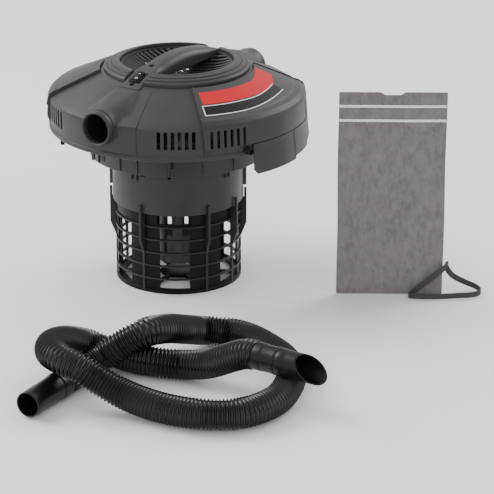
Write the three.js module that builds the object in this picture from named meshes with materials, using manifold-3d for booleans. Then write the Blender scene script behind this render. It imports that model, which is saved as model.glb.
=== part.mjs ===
// Bucket-top shop vacuum: a power head with its motor and filter cage, a loose corrugated hose,
// a folded cloth filter bag and the elastic band that holds the bag on the cage.
//
// Millimetres, +Z up. The origin is the centre of the cage's underside, on the motor axis.
// The inlet port faces -Y, the exhaust port +Y, and the raised side panels face +X and -X.
// A bearing angle is measured about the motor axis from the inlet port towards +X.
import * as THREE from 'three';
import { mergeVertices } from 'three/addons/utils/BufferGeometryUtils.js';
import Module from 'manifold-3d';

const wasm = await Module();
wasm.setup();

// ---- driving dimensions -------------------------------------------------------------------
const GAP = 0.4; // between fixed neighbours
const RUNNING_GAP = 0.08; // between the shaft and its bearings
const MOVING_GAP = 1.5; // around anything that turns or slides

const SKIRT_RADIUS = 180;
const SKIRT_BOTTOM = 227;
const SKIRT_TOP = 271;
const SHELL_WALL = 3;
const DOME_FOOT_RADIUS = 170;
const DOME_FOOT_Z = 278;
const DOME_SLOPE = 0.448; // rise for each millimetre towards the axis
const RAISED_PROUD = 4; // how far the side panels stand off the skirt and the dome
const RAISED_BOTTOM = 243;
const RAISED_FROM = 47; // bearing angles of one side panel
const RAISED_TO = 133;

const RIM_RADIUS = 80;
const RIM_TOP = 321;
const COLLAR_RADIUS = 103;
const GRILLE_TOP = 316; // at its rim, and the middle is dished below it
const GRILLE_DISH = 23;
const GRILLE_THICKNESS = 4;
const SLAT_PITCH = 7.5;
const SLAT_GAP = 4;
const SPINE_HALF = 2; // of the bar that joins the louvres under the handle

const HANDLE_WIDTH = 34;
const HANDLE_REACH = 114; // from the axis to each end of the handle
const HANDLE_CREST = 332;
const GRIP_UNDERSIDE = 309;
const FOOT_LENGTH = 52; // of each end of the handle, down onto the housing

const PORT_Z = 267;
const PORT_BORE = 20.5;
const PORT_COLLAR_RADIUS = PORT_BORE + 4.5;
const PORT_COLLAR_LENGTH = 9;
const PORT_BOSS_RADIUS = PORT_COLLAR_RADIUS + 3;
const PORT_FACE = SKIRT_RADIUS + 2;

const VENT_WIDTH = 5.2;
const VENT_BOTTOM = 244.5;
const VENT_TOP = 269;
const VENT_STEP = 3.03; // degrees
const FRONT_VENTS = 27.4; // bearing of the first slot in each group
const SIDE_VENTS = 50.3;
const VENTS_IN_GROUP = 6;

const SEAT_RADIUS = 125; // the ring that drops into the bucket's mouth
const SEAT_BOTTOM = 186;
const SEAT_WALL = 3;
const SEAL_RADIUS = 158;
const SEAL_WIDTH = 16;
const SEAL_HEIGHT = 4;

const DRUM_RADIUS = 93.5;
const DRUM_BOTTOM = 118;
const DRUM_WALL = 3;
const FLOAT_SEAT_RADIUS = 22;
const EYE_RADIUS = 28; // of the turbine's inlet

const CAGE_RADIUS = 88;
const CAGE_WALL = 2.5;
const CAGE_RIB_PROUD = 2;
const CAGE_RIB_THICK = 2.4;
const CAGE_RIB_PITCH = 19.4;
const CAGE_FIRST_RIB = 20;
const CAGE_RIBS = 5;
const CAGE_FLOOR = 6;
const CAGE_TOP = 127;
const WINDOW_WIDTH = 43;
const FIN_THICK = 3.6;
const FIN_TOP = 131;
const FIN_RADIUS = 98;
const FIN_FIRST = 2; // bearing angle
const FIN_COUNT = 6;

const FLOAT_RADIUS = 24;
const FLOAT_HEIGHT = 42;
const FLOAT_BOTTOM = 26;
const FLOAT_CAGE_WALL = 2;

const SHAFT_RADIUS = 4;
const TURBINE_RADIUS = 60;
const TURBINE_HEIGHT = 16;
const STATOR_RADIUS = 47;
const ARMATURE_RADIUS = 24;
const STACK_LENGTH = 24;
const COMMUTATOR_RADIUS = 12;

const HOSE_RADIUS = 20;
const CUFF_RADIUS = 18.2;
const CUFF_WALL = 2.2;
const CUFF_LENGTH = 84;
const TOOL_CUFF_LENGTH = 36;
const NOZZLE_LENGTH = 66;
const NOZZLE_ROLL = 30; // how far the cut face is rolled towards -Y

const BAG_WIDTH = 150;
const BAG_HEIGHT = 298;
const BAG_THICKNESS = 5;
const BAND_WIDTH = 8;
const BAND_THICKNESS = 1.6;
const BAND_CLEARANCE = 2; // between the bag's faces and the band

// ---- helpers ------------------------------------------------------------------------------
const ROUND = 48; // sides of the large turned pieces
const MEDIUM = 24;
const SMALL = 20;
const degrees = THREE.MathUtils.degToRad;
const vacuum = new THREE.Group();

const coating = (metalness) => (color, roughness) =>
  new THREE.MeshStandardMaterial({ color, roughness, metalness });
const plastic = coating(0);
const metal = coating(1);
const CHARCOAL = plastic(0x4b494b, 0.5);
const BLACK = plastic(0x1c1c1e, 0.45);
const GREY = plastic(0x6a6a6c, 0.55);
const RUBBER = plastic(0x151515, 0.8);
const CLOTH = plastic(0x807c7a, 0.95);
const STEEL = metal(0x9a9c9e, 0.35);
const COPPER = metal(0xb06a3a, 0.4);
const ALUMINIUM = metal(0xb8babc, 0.4);

// A closed geometry as a solid, whichever way its outline was listed.
function solid(geometry) {
  const bare = geometry.index ? geometry.toNonIndexed() : geometry.clone();
  bare.deleteAttribute('normal');
  bare.deleteAttribute('uv');
  const merged = mergeVertices(bare, 1e-3);
  const corners = merged.index.array;
  const places = merged.attributes.position;
  const kept = [];
  let volume = 0;
  const [a, b, c] = [new THREE.Vector3(), new THREE.Vector3(), new THREE.Vector3()];
  for (let i = 0; i < corners.length; i += 3) {
    const [p, q, r] = [corners[i], corners[i + 1], corners[i + 2]];
    if (p === q || q === r || r === p) continue;
    kept.push([p, q, r]);
    a.fromBufferAttribute(places, p);
    b.fromBufferAttribute(places, q);
    c.fromBufferAttribute(places, r);
    volume += a.dot(b.cross(c));
  }
  const facing = volume < 0 ? kept.map(([p, q, r]) => [p, r, q]) : kept;
  return new wasm.Manifold(new wasm.Mesh({
    numProp: 3,
    vertProperties: new Float32Array(places.array),
    triVerts: new Uint32Array(facing.flat()),
  }));
}

// A solid as a named mesh in the given group.
function add(name, body, material, group = vacuum) {
  const data = body.getMesh();
  const geometry = new THREE.BufferGeometry();
  geometry.setAttribute('position', new THREE.BufferAttribute(new Float32Array(data.vertProperties), 3));
  geometry.setIndex(new THREE.BufferAttribute(new Uint32Array(data.triVerts), 1));
  geometry.computeVertexNormals();
  const mesh = new THREE.Mesh(geometry, material);
  mesh.name = name;
  group.add(mesh);
  return mesh;
}

// A solid carried to another place by a matrix, which may mirror it.
function placed(body, matrix) {
  const data = body.getMesh();
  const places = new THREE.BufferAttribute(new Float32Array(data.vertProperties), 3).applyMatrix4(matrix);
  const corners = new Uint32Array(data.triVerts);
  if (matrix.determinant() < 0) corners.reverse();
  return new wasm.Manifold(new wasm.Mesh({ numProp: 3, vertProperties: places.array, triVerts: corners }));
}

const turnedBy = (body, angle) => placed(body, new THREE.Matrix4().makeRotationZ(degrees(angle)));
const shifted = (body, x, y, z) => placed(body, new THREE.Matrix4().makeTranslation(x, y, z));
const mirroredX = (body) => placed(body, new THREE.Matrix4().makeScale(-1, 1, 1));
const union = (...bodies) => bodies.reduce((whole, body) => whole.add(body));
const cut = (body, ...tools) => tools.reduce((left, tool) => left.subtract(tool), body);

// A profile of [radius, z] points turned about the Z axis.
function turned(profile, sides = ROUND) {
  const points = profile.map(([radius, z]) => new THREE.Vector2(radius, z));
  const first = points[0];
  const last = points[points.length - 1];
  if (first.x > 0 || last.x > 0) points.push(first.clone());
  return solid(new THREE.LatheGeometry(points, sides).rotateX(Math.PI / 2));
}

const disc = (radius, low, high, sides = MEDIUM) =>
  turned([[0, low], [radius, low], [radius, high], [0, high]], sides);
const ring = (outer, inner, low, high, sides = MEDIUM) =>
  turned([[inner, low], [outer, low], [outer, high], [inner, high]], sides);

// A box between two corners.
function block(x0, x1, y0, y1, z0, z1) {
  const geometry = new THREE.BoxGeometry(x1 - x0, y1 - y0, z1 - z0);
  return solid(geometry.translate((x0 + x1) / 2, (y0 + y1) / 2, (z0 + z1) / 2));
}

// An outline of [x, y] points raised from low to high.
function prism(outline, low, high) {
  const shape = new THREE.Shape(outline.map(([x, y]) => new THREE.Vector2(x, y)));
  const geometry = new THREE.ExtrudeGeometry(shape, { depth: high - low, bevelEnabled: false });
  return solid(geometry.translate(0, 0, low));
}

// A side profile of [y, z] points, as wide as asked and centred on X.
function slab(profile, width) {
  const shape = new THREE.Shape(profile.map(([y, z]) => new THREE.Vector2(y, z)));
  const geometry = new THREE.ExtrudeGeometry(shape, { depth: width, bevelEnabled: false });
  geometry.translate(0, 0, -width / 2);
  const turn = new THREE.Matrix4().set(0, 0, 1, 0, 1, 0, 0, 0, 0, 1, 0, 0, 0, 0, 0, 1);
  return solid(geometry.applyMatrix4(turn));
}

// A cylinder along Y at height z.
function barrel(radius, y0, y1, z, sides = MEDIUM) {
  const geometry = new THREE.CylinderGeometry(radius, radius, Math.abs(y1 - y0), sides);
  return solid(geometry.translate(0, (y0 + y1) / 2, z));
}

// A cylinder along X from x0 to x1, about the line through y and z.
function roller(radius, x0, x1, y, z, sides = SMALL) {
  const geometry = new THREE.CylinderGeometry(radius, radius, Math.abs(x1 - x0), sides);
  return solid(geometry.rotateZ(Math.PI / 2).translate((x0 + x1) / 2, y, z));
}

// The place at a radius and a bearing angle.
const bearing = (radius, angle) => [radius * Math.sin(degrees(angle)), -radius * Math.cos(degrees(angle))];

// A solid moved out to a radius and turned to face its bearing angle.
function carried(geometry, radius, angle) {
  const [x, y] = bearing(radius, angle);
  return solid(geometry.rotateZ(degrees(angle)).translate(x, y, 0));
}

// A pie slice between two bearing angles.
function slice(from, to, radius, low, high) {
  const outline = [[0, 0]];
  const steps = Math.ceil((to - from) / 15);
  for (let i = 0; i <= steps; i += 1) outline.push(bearing(radius, from + ((to - from) * i) / steps));
  return prism(outline, low, high);
}


// ---- shell --------------------------------------------------------------------------------
const domeHeight = (radius) => DOME_FOOT_Z + (DOME_FOOT_RADIUS - radius) * DOME_SLOPE;

// The head's outer form as a full solid, shrunk by an inset for its hollow.
function domeForm(inset) {
  return turned([
    [0, SKIRT_BOTTOM - inset],
    [SKIRT_RADIUS - inset, SKIRT_BOTTOM - inset],
    [SKIRT_RADIUS - inset, SKIRT_TOP - inset],
    [DOME_FOOT_RADIUS, DOME_FOOT_Z - inset],
    [COLLAR_RADIUS, domeHeight(COLLAR_RADIUS) - inset],
    [0, domeHeight(COLLAR_RADIUS) - inset],
  ]);
}

// One side panel's outer form: fuller in the shoulder than the dome.
function raisedForm() {
  const radius = SKIRT_RADIUS + RAISED_PROUD;
  const top = domeHeight(COLLAR_RADIUS + 5) + RAISED_PROUD / 2;
  const whole = turned([
    [0, RAISED_BOTTOM],
    [radius, RAISED_BOTTOM],
    [radius, SKIRT_TOP - 6],
    [radius - 4, SKIRT_TOP + 3],
    [DOME_FOOT_RADIUS, DOME_FOOT_Z + RAISED_PROUD],
    [COLLAR_RADIUS + 5, top],
    [0, top],
  ]);
  return whole.intersect(slice(RAISED_FROM, RAISED_TO, SKIRT_RADIUS * 2, 0, HANDLE_CREST));
}

// The low hump that joins a port to the handle's foot, on the -Y side.
function portHump() {
  const side = slab([
    [-PORT_FACE, PORT_Z - PORT_BOSS_RADIUS],
    [-PORT_FACE, PORT_Z + PORT_COLLAR_RADIUS],
    [-HANDLE_REACH, domeHeight(HANDLE_REACH) + 2],
    [-HANDLE_REACH, PORT_Z - PORT_BOSS_RADIUS],
  ], 2 * PORT_BOSS_RADIUS + 8);
  const halfTop = HANDLE_WIDTH / 2;
  const halfFoot = PORT_BOSS_RADIUS + 4;
  const high = domeHeight(HANDLE_REACH) + 4;
  const across = solid(new THREE.ExtrudeGeometry(
    new THREE.Shape([
      new THREE.Vector2(-halfFoot, PORT_Z),
      new THREE.Vector2(halfFoot, PORT_Z),
      new THREE.Vector2(halfTop, high),
      new THREE.Vector2(-halfTop, high),
    ]),
    { depth: PORT_FACE, bevelEnabled: false },
  ).rotateX(Math.PI / 2));
  return side.intersect(across).add(barrel(PORT_BOSS_RADIUS, -PORT_FACE, -HANDLE_REACH, PORT_Z));
}

const DUCT_WALL = 1.5;
const DUCT_RADIUS = PORT_BORE + DUCT_WALL;
const bothWays = (body) => body.add(turnedBy(body, 180));

// The six upright vents of one group, in all four mirrored places.
function vents(firstAngle) {
  const tools = [];
  for (let i = 0; i < VENTS_IN_GROUP; i += 1) {
    const angle = firstAngle + i * VENT_STEP;
    for (const turn of [angle, 180 - angle, 180 + angle, 360 - angle]) {
      const slot = new THREE.BoxGeometry(VENT_WIDTH, 4 * SHELL_WALL, VENT_TOP - VENT_BOTTOM);
      tools.push(carried(slot.translate(0, 0, (VENT_TOP + VENT_BOTTOM) / 2), SKIRT_RADIUS, turn));
    }
  }
  return tools;
}

// The room that the handle's feet take out of the shell and the grille collar.
function handleSeat() {
  const reach = HANDLE_REACH + GAP;
  const half = HANDLE_WIDTH / 2 + GAP;
  return block(-half, half, -reach, reach, footBottom() - GAP, HANDLE_CREST + 1);
}
const footBottom = () => domeHeight(HANDLE_REACH) + 0.5;

function upperHousing() {
  const panel = raisedForm();
  const outer = union(domeForm(0), panel, mirroredX(panel), bothWays(portHump()));
  return cut(
    outer,
    domeForm(SHELL_WALL),
    disc(COLLAR_RADIUS - 4, 0, HANDLE_CREST, ROUND),
    bothWays(barrel(DUCT_RADIUS + GAP, -PORT_FACE - 1, -COLLAR_RADIUS, PORT_Z)),
    handleSeat(),
    ...vents(FRONT_VENTS),
    ...vents(SIDE_VENTS),
  );
}

// A short ring round a port, standing on the housing's flat boss.
function portCollar(side) {
  const back = PORT_FACE + GAP;
  const front = back + PORT_COLLAR_LENGTH;
  const body = cut(
    barrel(PORT_COLLAR_RADIUS, -back, -front, PORT_Z),
    barrel(PORT_BORE, -back + 1, -front - 1, PORT_Z),
  );
  return side < 0 ? body : turnedBy(body, 180);
}

const LIP_UNDER_FOOT = 5; // of the lip that joins the ring under the handle's feet

// The stepped ring around the intake grille.
function grilleCollar() {
  const low = domeHeight(COLLAR_RADIUS) + GAP;
  const lip = footBottom() - GAP - LIP_UNDER_FOOT;
  const body = turned([
    [RIM_RADIUS, lip],
    [RIM_RADIUS + 3, lip],
    [RIM_RADIUS + 8, low],
    [COLLAR_RADIUS, low],
    [COLLAR_RADIUS, RIM_TOP - 8],
    [COLLAR_RADIUS - 5, RIM_TOP - 4.5],
    [COLLAR_RADIUS - 7, RIM_TOP - 4.5],
    [COLLAR_RADIUS - 11, RIM_TOP - 2],
    [RIM_RADIUS + 8, RIM_TOP - 1],
    [RIM_RADIUS + 2, RIM_TOP],
    [RIM_RADIUS, RIM_TOP - 1],
  ]);
  return body.subtract(handleSeat());
}

// Where the handle's two ends pass through the grille's rim.
function footNotches() {
  const half = HANDLE_WIDTH / 2 + GAP;
  const near = HANDLE_REACH - FOOT_LENGTH - GAP;
  const notch = block(-half, half, -HANDLE_REACH, -near, 0, HANDLE_CREST);
  return [notch, turnedBy(notch, 180)];
}

// A dished disc of straight louvres that run across the handle, with a spine under it.
function intakeGrille() {
  const radius = RIM_RADIUS - GAP;
  const open = RIM_RADIUS - 4;
  const dish = (part) => GRILLE_TOP - GRILLE_DISH * (1 - part * part);
  const top = [0, 0.25, 0.5, 0.75, 1].map((part) => [open * part, dish(part)]);
  top.push([radius, GRILLE_TOP]);
  const under = top.map(([r, z]) => [r, z - GRILLE_THICKNESS]).reverse();
  const slots = [];
  for (let y = -Math.floor(open / SLAT_PITCH) * SLAT_PITCH; y < open; y += SLAT_PITCH) {
    const half = Math.sqrt(Math.max(0, open * open - (Math.abs(y) + SLAT_GAP / 2) ** 2));
    if (half < 4 * SPINE_HALF) continue;
    for (const [from, to] of [[-half, -SPINE_HALF], [SPINE_HALF, half]]) {
      const low = GRILLE_TOP - GRILLE_DISH - GRILLE_THICKNESS - 1;
      slots.push(block(from, to, y - SLAT_GAP / 2, y + SLAT_GAP / 2, low, GRILLE_TOP + 1));
    }
  }
  return cut(turned([...under, ...top]), ...slots, ...footNotches());
}

// ---- handle and switch --------------------------------------------------------------------
const SWITCH_TILT = 17; // degrees
const SWITCH_PLACE = [0, -91, 315.4];
const ROCKER_LENGTH = 18;
const ROCKER_WIDTH = 11;
const BEZEL_EDGE = 3;

// Half of the handle's top line, from its crest to its end.
const HANDLE_TOP = [[4, 0], [28, 1.5], [50, 5], [70, 10], [HANDLE_REACH - 18, 18.5], [HANDLE_REACH, 26]];

function handle() {
  const front = HANDLE_TOP.map(([y, drop]) => [-y, HANDLE_CREST - drop]);
  const rear = HANDLE_TOP.map(([y, drop]) => [y, HANDLE_CREST - drop]).reverse();
  const foot = footBottom();
  const inner = HANDLE_REACH - FOOT_LENGTH;
  const under = [
    [-HANDLE_REACH, foot],
    [-inner, foot],
    [-inner, GRIP_UNDERSIDE],
    [inner, GRIP_UNDERSIDE],
    [inner, foot],
    [HANDLE_REACH, foot],
  ];
  const whole = slab([...under, ...rear, ...front], HANDLE_WIDTH);
  return cut(whole, switchPocket(), ...SCREW_PLACES.map(screwPocket));
}

const pocketSize = (grow) => [
  ROCKER_WIDTH / 2 + BEZEL_EDGE + grow,
  ROCKER_LENGTH / 2 + BEZEL_EDGE + grow,
];

// A solid made about the switch's own centre, turned and carried to its place on the handle.
const onSwitch = (body) => placed(
  body,
  new THREE.Matrix4().makeRotationX(degrees(SWITCH_TILT)).setPosition(...SWITCH_PLACE),
);

function switchPocket() {
  const [halfX, halfY] = pocketSize(GAP);
  return onSwitch(block(-halfX, halfX, -halfY, halfY, -8, 12));
}

function switchBezel() {
  const [halfX, halfY] = pocketSize(0);
  return onSwitch(cut(
    block(-halfX, halfX, -halfY, halfY, -7.4, 1.2),
    block(-ROCKER_WIDTH / 2 - GAP, ROCKER_WIDTH / 2 + GAP, -ROCKER_LENGTH / 2 - MOVING_GAP / 2,
      ROCKER_LENGTH / 2 + MOVING_GAP / 2, -5.8, 3),
  ));
}

// The rocker, with its -Y end down when the switch is off.
function rockerSwitch() {
  const half = ROCKER_LENGTH / 2;
  const body = slab([
    [-half + 1.6, -3.6],
    [half - 1.6, -3.6],
    [half, 0],
    [half - 0.3, 4.6],
    [0, 2.2],
    [-half + 0.3, 1.9],
    [-half, 0],
  ], ROCKER_WIDTH);
  return onSwitch(body);
}

const SCREW_RADIUS = 3.2;
const SCREW_HEAD = 2;
const SCREW_SINK = 1.4;
const SCREW_SLOT = 1;
const SCREW_SIDES = 12;
const SCREW_PLACES = [[-60, 7.5], [-106, 22.7]]; // along Y, and how far below the crest

function screwPocket([y, drop]) {
  const floor = HANDLE_CREST - drop - SCREW_SINK - SCREW_HEAD - GAP;
  return shifted(disc(SCREW_RADIUS + GAP, floor, HANDLE_CREST + 1, SCREW_SIDES), 0, y, 0);
}

function handleScrew([y, drop]) {
  const top = HANDLE_CREST - drop - SCREW_SINK;
  const head = disc(SCREW_RADIUS, top - SCREW_HEAD, top, SCREW_SIDES);
  const slot = block(-SCREW_RADIUS, SCREW_RADIUS, -SCREW_SLOT / 2, SCREW_SLOT / 2, top - SCREW_SLOT, top + 1);
  return shifted(head.subtract(slot), 0, y, 0);
}

// ---- guards, bucket seat and screws ---------------------------------------------------------
const GUARD_FROM = 70;
const GUARD_TO = 130;

// A thin flared plate that hangs down outside the skirt below a side panel.
function sideGuard() {
  const inner = SKIRT_RADIUS + GAP;
  const body = turned([
    [inner, RAISED_BOTTOM - GAP],
    [inner + 4.2, RAISED_BOTTOM - GAP],
    [inner + 7, 212],
    [inner + 5, 199],
    [inner + 1, 199],
    [inner, 226],
  ]).intersect(slice(GUARD_FROM, GUARD_TO, SKIRT_RADIUS * 2, 0, HANDLE_CREST));
  return body.subtract(slice(GUARD_TO - 34, GUARD_TO + 2, SKIRT_RADIUS * 2, 190, 206));
}

// The cord's inlet: a short strain-relief stub in the skirt, just in front of the right guard.
const GLAND_ANGLE = 67;
const GLAND_Z = 236;
function cordGland() {
  const stub = new THREE.CylinderGeometry(5, 6, 12, 16);
  return carried(stub.translate(0, -6 - GAP, GLAND_Z), SKIRT_RADIUS, GLAND_ANGLE);
}

const SCREW_BOSS_RADIUS = 172;
const DISCHARGE_NEAR = 95.5; // the duct's reach from the axis, between the drum and the seat ring
const DISCHARGE_FAR = 116;
const DISCHARGE_HALF = 27;

function lowerHousing() {
  const flange = SKIRT_BOTTOM - 1;
  const outer = SKIRT_RADIUS - SHELL_WALL - GAP;
  const body = turned([
    [EYE_RADIUS, SEAT_BOTTOM],
    [SEAT_RADIUS, SEAT_BOTTOM],
    [SEAT_RADIUS, flange],
    [outer, flange],
    [outer, flange + 12],
    [outer - SEAT_WALL, flange + 12],
    [outer - SEAT_WALL, flange + SEAT_WALL],
    [SEAT_RADIUS - SEAT_WALL, flange + SEAT_WALL],
    [SEAT_RADIUS - SEAT_WALL, SEAT_BOTTOM + SEAT_WALL],
    [EYE_RADIUS, SEAT_BOTTOM + SEAT_WALL],
  ]);
  const half = DISCHARGE_HALF + GAP;
  const high = SEAT_BOTTOM + 5;
  const room = block(-half, half, -DISCHARGE_FAR - GAP, -DISCHARGE_NEAR + GAP, SEAT_BOTTOM - 1, high);
  return body.subtract(room);
}

function bucketSeal() {
  const top = SKIRT_BOTTOM - 1 - GAP;
  return ring(SEAL_RADIUS, SEAL_RADIUS - SEAL_WIDTH, top - SEAL_HEIGHT, top, ROUND);
}

const PEG_LENGTH = 6; // of a housing screw's end below the flange
const HOUSING_SCREWS = { front_left: -33, front_right: 33, rear_right: 147, rear_left: 213 };

function housingScrew(angle) {
  const [x, y] = bearing(SCREW_BOSS_RADIUS, angle);
  const top = SKIRT_BOTTOM - 1 - GAP;
  return shifted(disc(SCREW_RADIUS, top - PEG_LENGTH, top, SCREW_SIDES), x, y, 0);
}

// ---- neck drum, cage and float --------------------------------------------------------------
const SPACER = 360 / FIN_COUNT; // degrees between the fins

const finAngles = () => Array.from({ length: FIN_COUNT }, (_, i) => FIN_FIRST + i * SPACER);

function neckDrum() {
  const top = SEAT_BOTTOM - GAP;
  const inner = DRUM_RADIUS - DRUM_WALL;
  const body = turned([
    [FLOAT_SEAT_RADIUS, DRUM_BOTTOM + 11],
    [inner, DRUM_BOTTOM + 11],
    [inner, DRUM_BOTTOM],
    [DRUM_RADIUS, DRUM_BOTTOM],
    [DRUM_RADIUS, top],
    [inner, top],
    [inner, DRUM_BOTTOM + 14],
    [FLOAT_SEAT_RADIUS, DRUM_BOTTOM + 14],
  ]);
  const ribs = finAngles().map((angle) => {
    const rib = new THREE.BoxGeometry(FIN_THICK + 1, FIN_RADIUS - DRUM_RADIUS + 2, top - FIN_TOP - 3);
    return carried(rib.translate(0, 0, (top + FIN_TOP + 3) / 2), (FIN_RADIUS + DRUM_RADIUS - 2) / 2, angle);
  });
  return union(body, ...ribs);
}

// One upright fin of the cage: it stands out past the drum at the top and tapers in below.
function cageFin(angle) {
  const inside = CAGE_RADIUS - CAGE_WALL / 2;
  const flush = CAGE_RADIUS + CAGE_RIB_PROUD;
  const profile = [
    [-inside, 1],
    [-flush, 1],
    [-flush, 58],
    [-FIN_RADIUS, 78],
    [-FIN_RADIUS, FIN_TOP],
    [-DRUM_RADIUS - 1, FIN_TOP],
    [-DRUM_RADIUS - 1, DRUM_BOTTOM - 1.5],
    [-inside, DRUM_BOTTOM - 1.5],
  ];
  return turnedBy(slab(profile, FIN_THICK), angle);
}

function filterCage() {
  const inner = CAGE_RADIUS - CAGE_WALL;
  const proud = CAGE_RADIUS + CAGE_RIB_PROUD;
  const outer = [[inner, 0], [proud, 0], [proud, CAGE_FLOOR], [CAGE_RADIUS, CAGE_FLOOR]];
  for (let i = 0; i < CAGE_RIBS; i += 1) {
    const low = CAGE_FIRST_RIB + i * CAGE_RIB_PITCH;
    const high = low + CAGE_RIB_THICK;
    outer.push([CAGE_RADIUS, low], [proud, low], [proud, high], [CAGE_RADIUS, high]);
  }
  outer.push([CAGE_RADIUS, CAGE_TOP], [inner, CAGE_TOP]);
  const shell = turned(outer, 36);
  const windows = [];
  for (let bay = 0; bay <= CAGE_RIBS - 1; bay += 1) {
    const below = CAGE_FIRST_RIB + (bay - 1) * CAGE_RIB_PITCH + CAGE_RIB_THICK;
    const low = bay === 0 ? CAGE_FLOOR : below;
    const high = CAGE_FIRST_RIB + bay * CAGE_RIB_PITCH;
    for (const angle of finAngles()) {
      const hole = new THREE.BoxGeometry(WINDOW_WIDTH, 4 * CAGE_WALL, high - low);
      windows.push(carried(hole.translate(0, 0, (low + high) / 2), CAGE_RADIUS - 1.5, angle + SPACER / 2));
    }
  }
  return union(cut(shell, ...windows), ...finAngles().map(cageFin));
}

const BASE_THICK = 4;
const BASE_HUB = 26;
const BASE_RIM = 8;
const SPOKE_HALF = 3;

// The spoked plate that closes the cage's underside.
function cageBase() {
  const outer = CAGE_RADIUS - CAGE_WALL - GAP;
  const spokes = finAngles().map((angle) =>
    turnedBy(block(-SPOKE_HALF, SPOKE_HALF, -outer + BASE_THICK, 0, 0, BASE_THICK), angle));
  const rim = ring(outer, outer - BASE_RIM, 0, BASE_THICK, ROUND);
  return union(disc(BASE_HUB, 0, BASE_THICK), rim, ...spokes);
}

const floatCageInner = () => FLOAT_RADIUS + MOVING_GAP;

// The slotted cup that guides the float below the drum's floor.
function floatCage() {
  const inner = floatCageInner();
  const outer = inner + FLOAT_CAGE_WALL;
  const low = FLOAT_BOTTOM - 2 - MOVING_GAP;
  const top = DRUM_BOTTOM + 11 - GAP;
  const body = turned([
    [inner - 10, low],
    [outer, low],
    [outer, top - 2],
    [outer + 8, top - 2],
    [outer + 8, top],
    [inner, top],
    [inner, low + 2],
    [inner - 10, low + 2],
  ], MEDIUM);
  const slots = [0, 60, 120].map((angle) =>
    turnedBy(block(-7, 7, -outer - 1, outer + 1, low + 10, top - 12), angle + FIN_FIRST));
  return cut(body, ...slots);
}

// The cup-shaped float that rises on the water and closes the drum's eye.
function floatCup() {
  const top = FLOAT_BOTTOM + FLOAT_HEIGHT;
  return turned([
    [0, FLOAT_BOTTOM],
    [FLOAT_RADIUS - 3, FLOAT_BOTTOM],
    [FLOAT_RADIUS, FLOAT_BOTTOM + 3],
    [FLOAT_RADIUS, top - 6],
    [FLOAT_RADIUS - 8, top],
    [0, top],
  ], MEDIUM);
}

// ---- motor ----------------------------------------------------------------------------------
const FAN_CASE_BOTTOM = SEAT_BOTTOM + SEAT_WALL + GAP;
const FAN_CASE_HEIGHT = TURBINE_HEIGHT + 2 * MOVING_GAP + 3.2;
const FAN_CASE_TOP = FAN_CASE_BOTTOM + FAN_CASE_HEIGHT;
const TURBINE_BOTTOM = FAN_CASE_BOTTOM + 1.6 + MOVING_GAP;
const BEARING_RADIUS = 9;
const BEARING_HEIGHT = 6;
const FRAME_BOTTOM = FAN_CASE_TOP + GAP;
const STACK_BOTTOM = FRAME_BOTTOM + 14;
const STACK_TOP = STACK_BOTTOM + STACK_LENGTH;
const FRAME_TOP = STACK_TOP + 20;
const COMMUTATOR_HEIGHT = 10;
const COMMUTATOR_BOTTOM = STACK_TOP + 7.5;
const LOWER_BEARING = FRAME_BOTTOM + 2;
const UPPER_BEARING = FRAME_TOP + GAP;
const SHAFT_BOTTOM = TURBINE_BOTTOM - 1;
const FAN_BOTTOM = UPPER_BEARING + BEARING_HEIGHT + MOVING_GAP;

function fanCase() {
  const outer = TURBINE_RADIUS + MOVING_GAP + 2 + 1.6;
  const wall = 1.6;
  const [low, high] = [FAN_CASE_BOTTOM, FAN_CASE_TOP];
  const body = turned([
    [EYE_RADIUS, low],
    [outer, low],
    [outer, high],
    [BEARING_RADIUS, high],
    [BEARING_RADIUS, high - wall],
    [outer - wall, high - wall],
    [outer - wall, low + wall],
    [EYE_RADIUS, low + wall],
  ]);
  const outlet = block(-24, 24, TURBINE_RADIUS - 10, outer + 5, low + 4, high - 4);
  return body.subtract(outlet);
}

const BLADES = 9;

function impeller() {
  const [low, high] = [TURBINE_BOTTOM, TURBINE_BOTTOM + TURBINE_HEIGHT];
  const back = ring(TURBINE_RADIUS, SHAFT_RADIUS + RUNNING_GAP, high - 2, high);
  const hub = ring(10, SHAFT_RADIUS + RUNNING_GAP, low + 2, high - 1, SMALL);
  const blades = [];
  for (let i = 0; i < BLADES; i += 1) {
    blades.push(turnedBy(block(-0.8, 0.8, -TURBINE_RADIUS + 1, -8, low + 1, high - 1), (i * 360) / BLADES));
  }
  const front = ring(TURBINE_RADIUS, EYE_RADIUS - 4, low, low + 1.6);
  const bore = disc(SHAFT_RADIUS + RUNNING_GAP, low - 1, high + 1, SMALL);
  return union(back, hub, ...blades, front).subtract(bore);
}

const COOLING_BLADES = 7;

function coolingFan() {
  const low = FAN_BOTTOM;
  const hub = ring(11, SHAFT_RADIUS + RUNNING_GAP, low, low + 8, SMALL);
  const blades = [];
  for (let i = 0; i < COOLING_BLADES; i += 1) {
    const blade = new THREE.BoxGeometry(10, 32, 1.4).rotateY(degrees(28)).translate(0, -25, low + 4);
    blades.push(turnedBy(solid(blade), (i * 360) / COOLING_BLADES));
  }
  return union(hub, ...blades).subtract(disc(SHAFT_RADIUS + RUNNING_GAP, low - 5, low + 12, SMALL));
}

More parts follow.
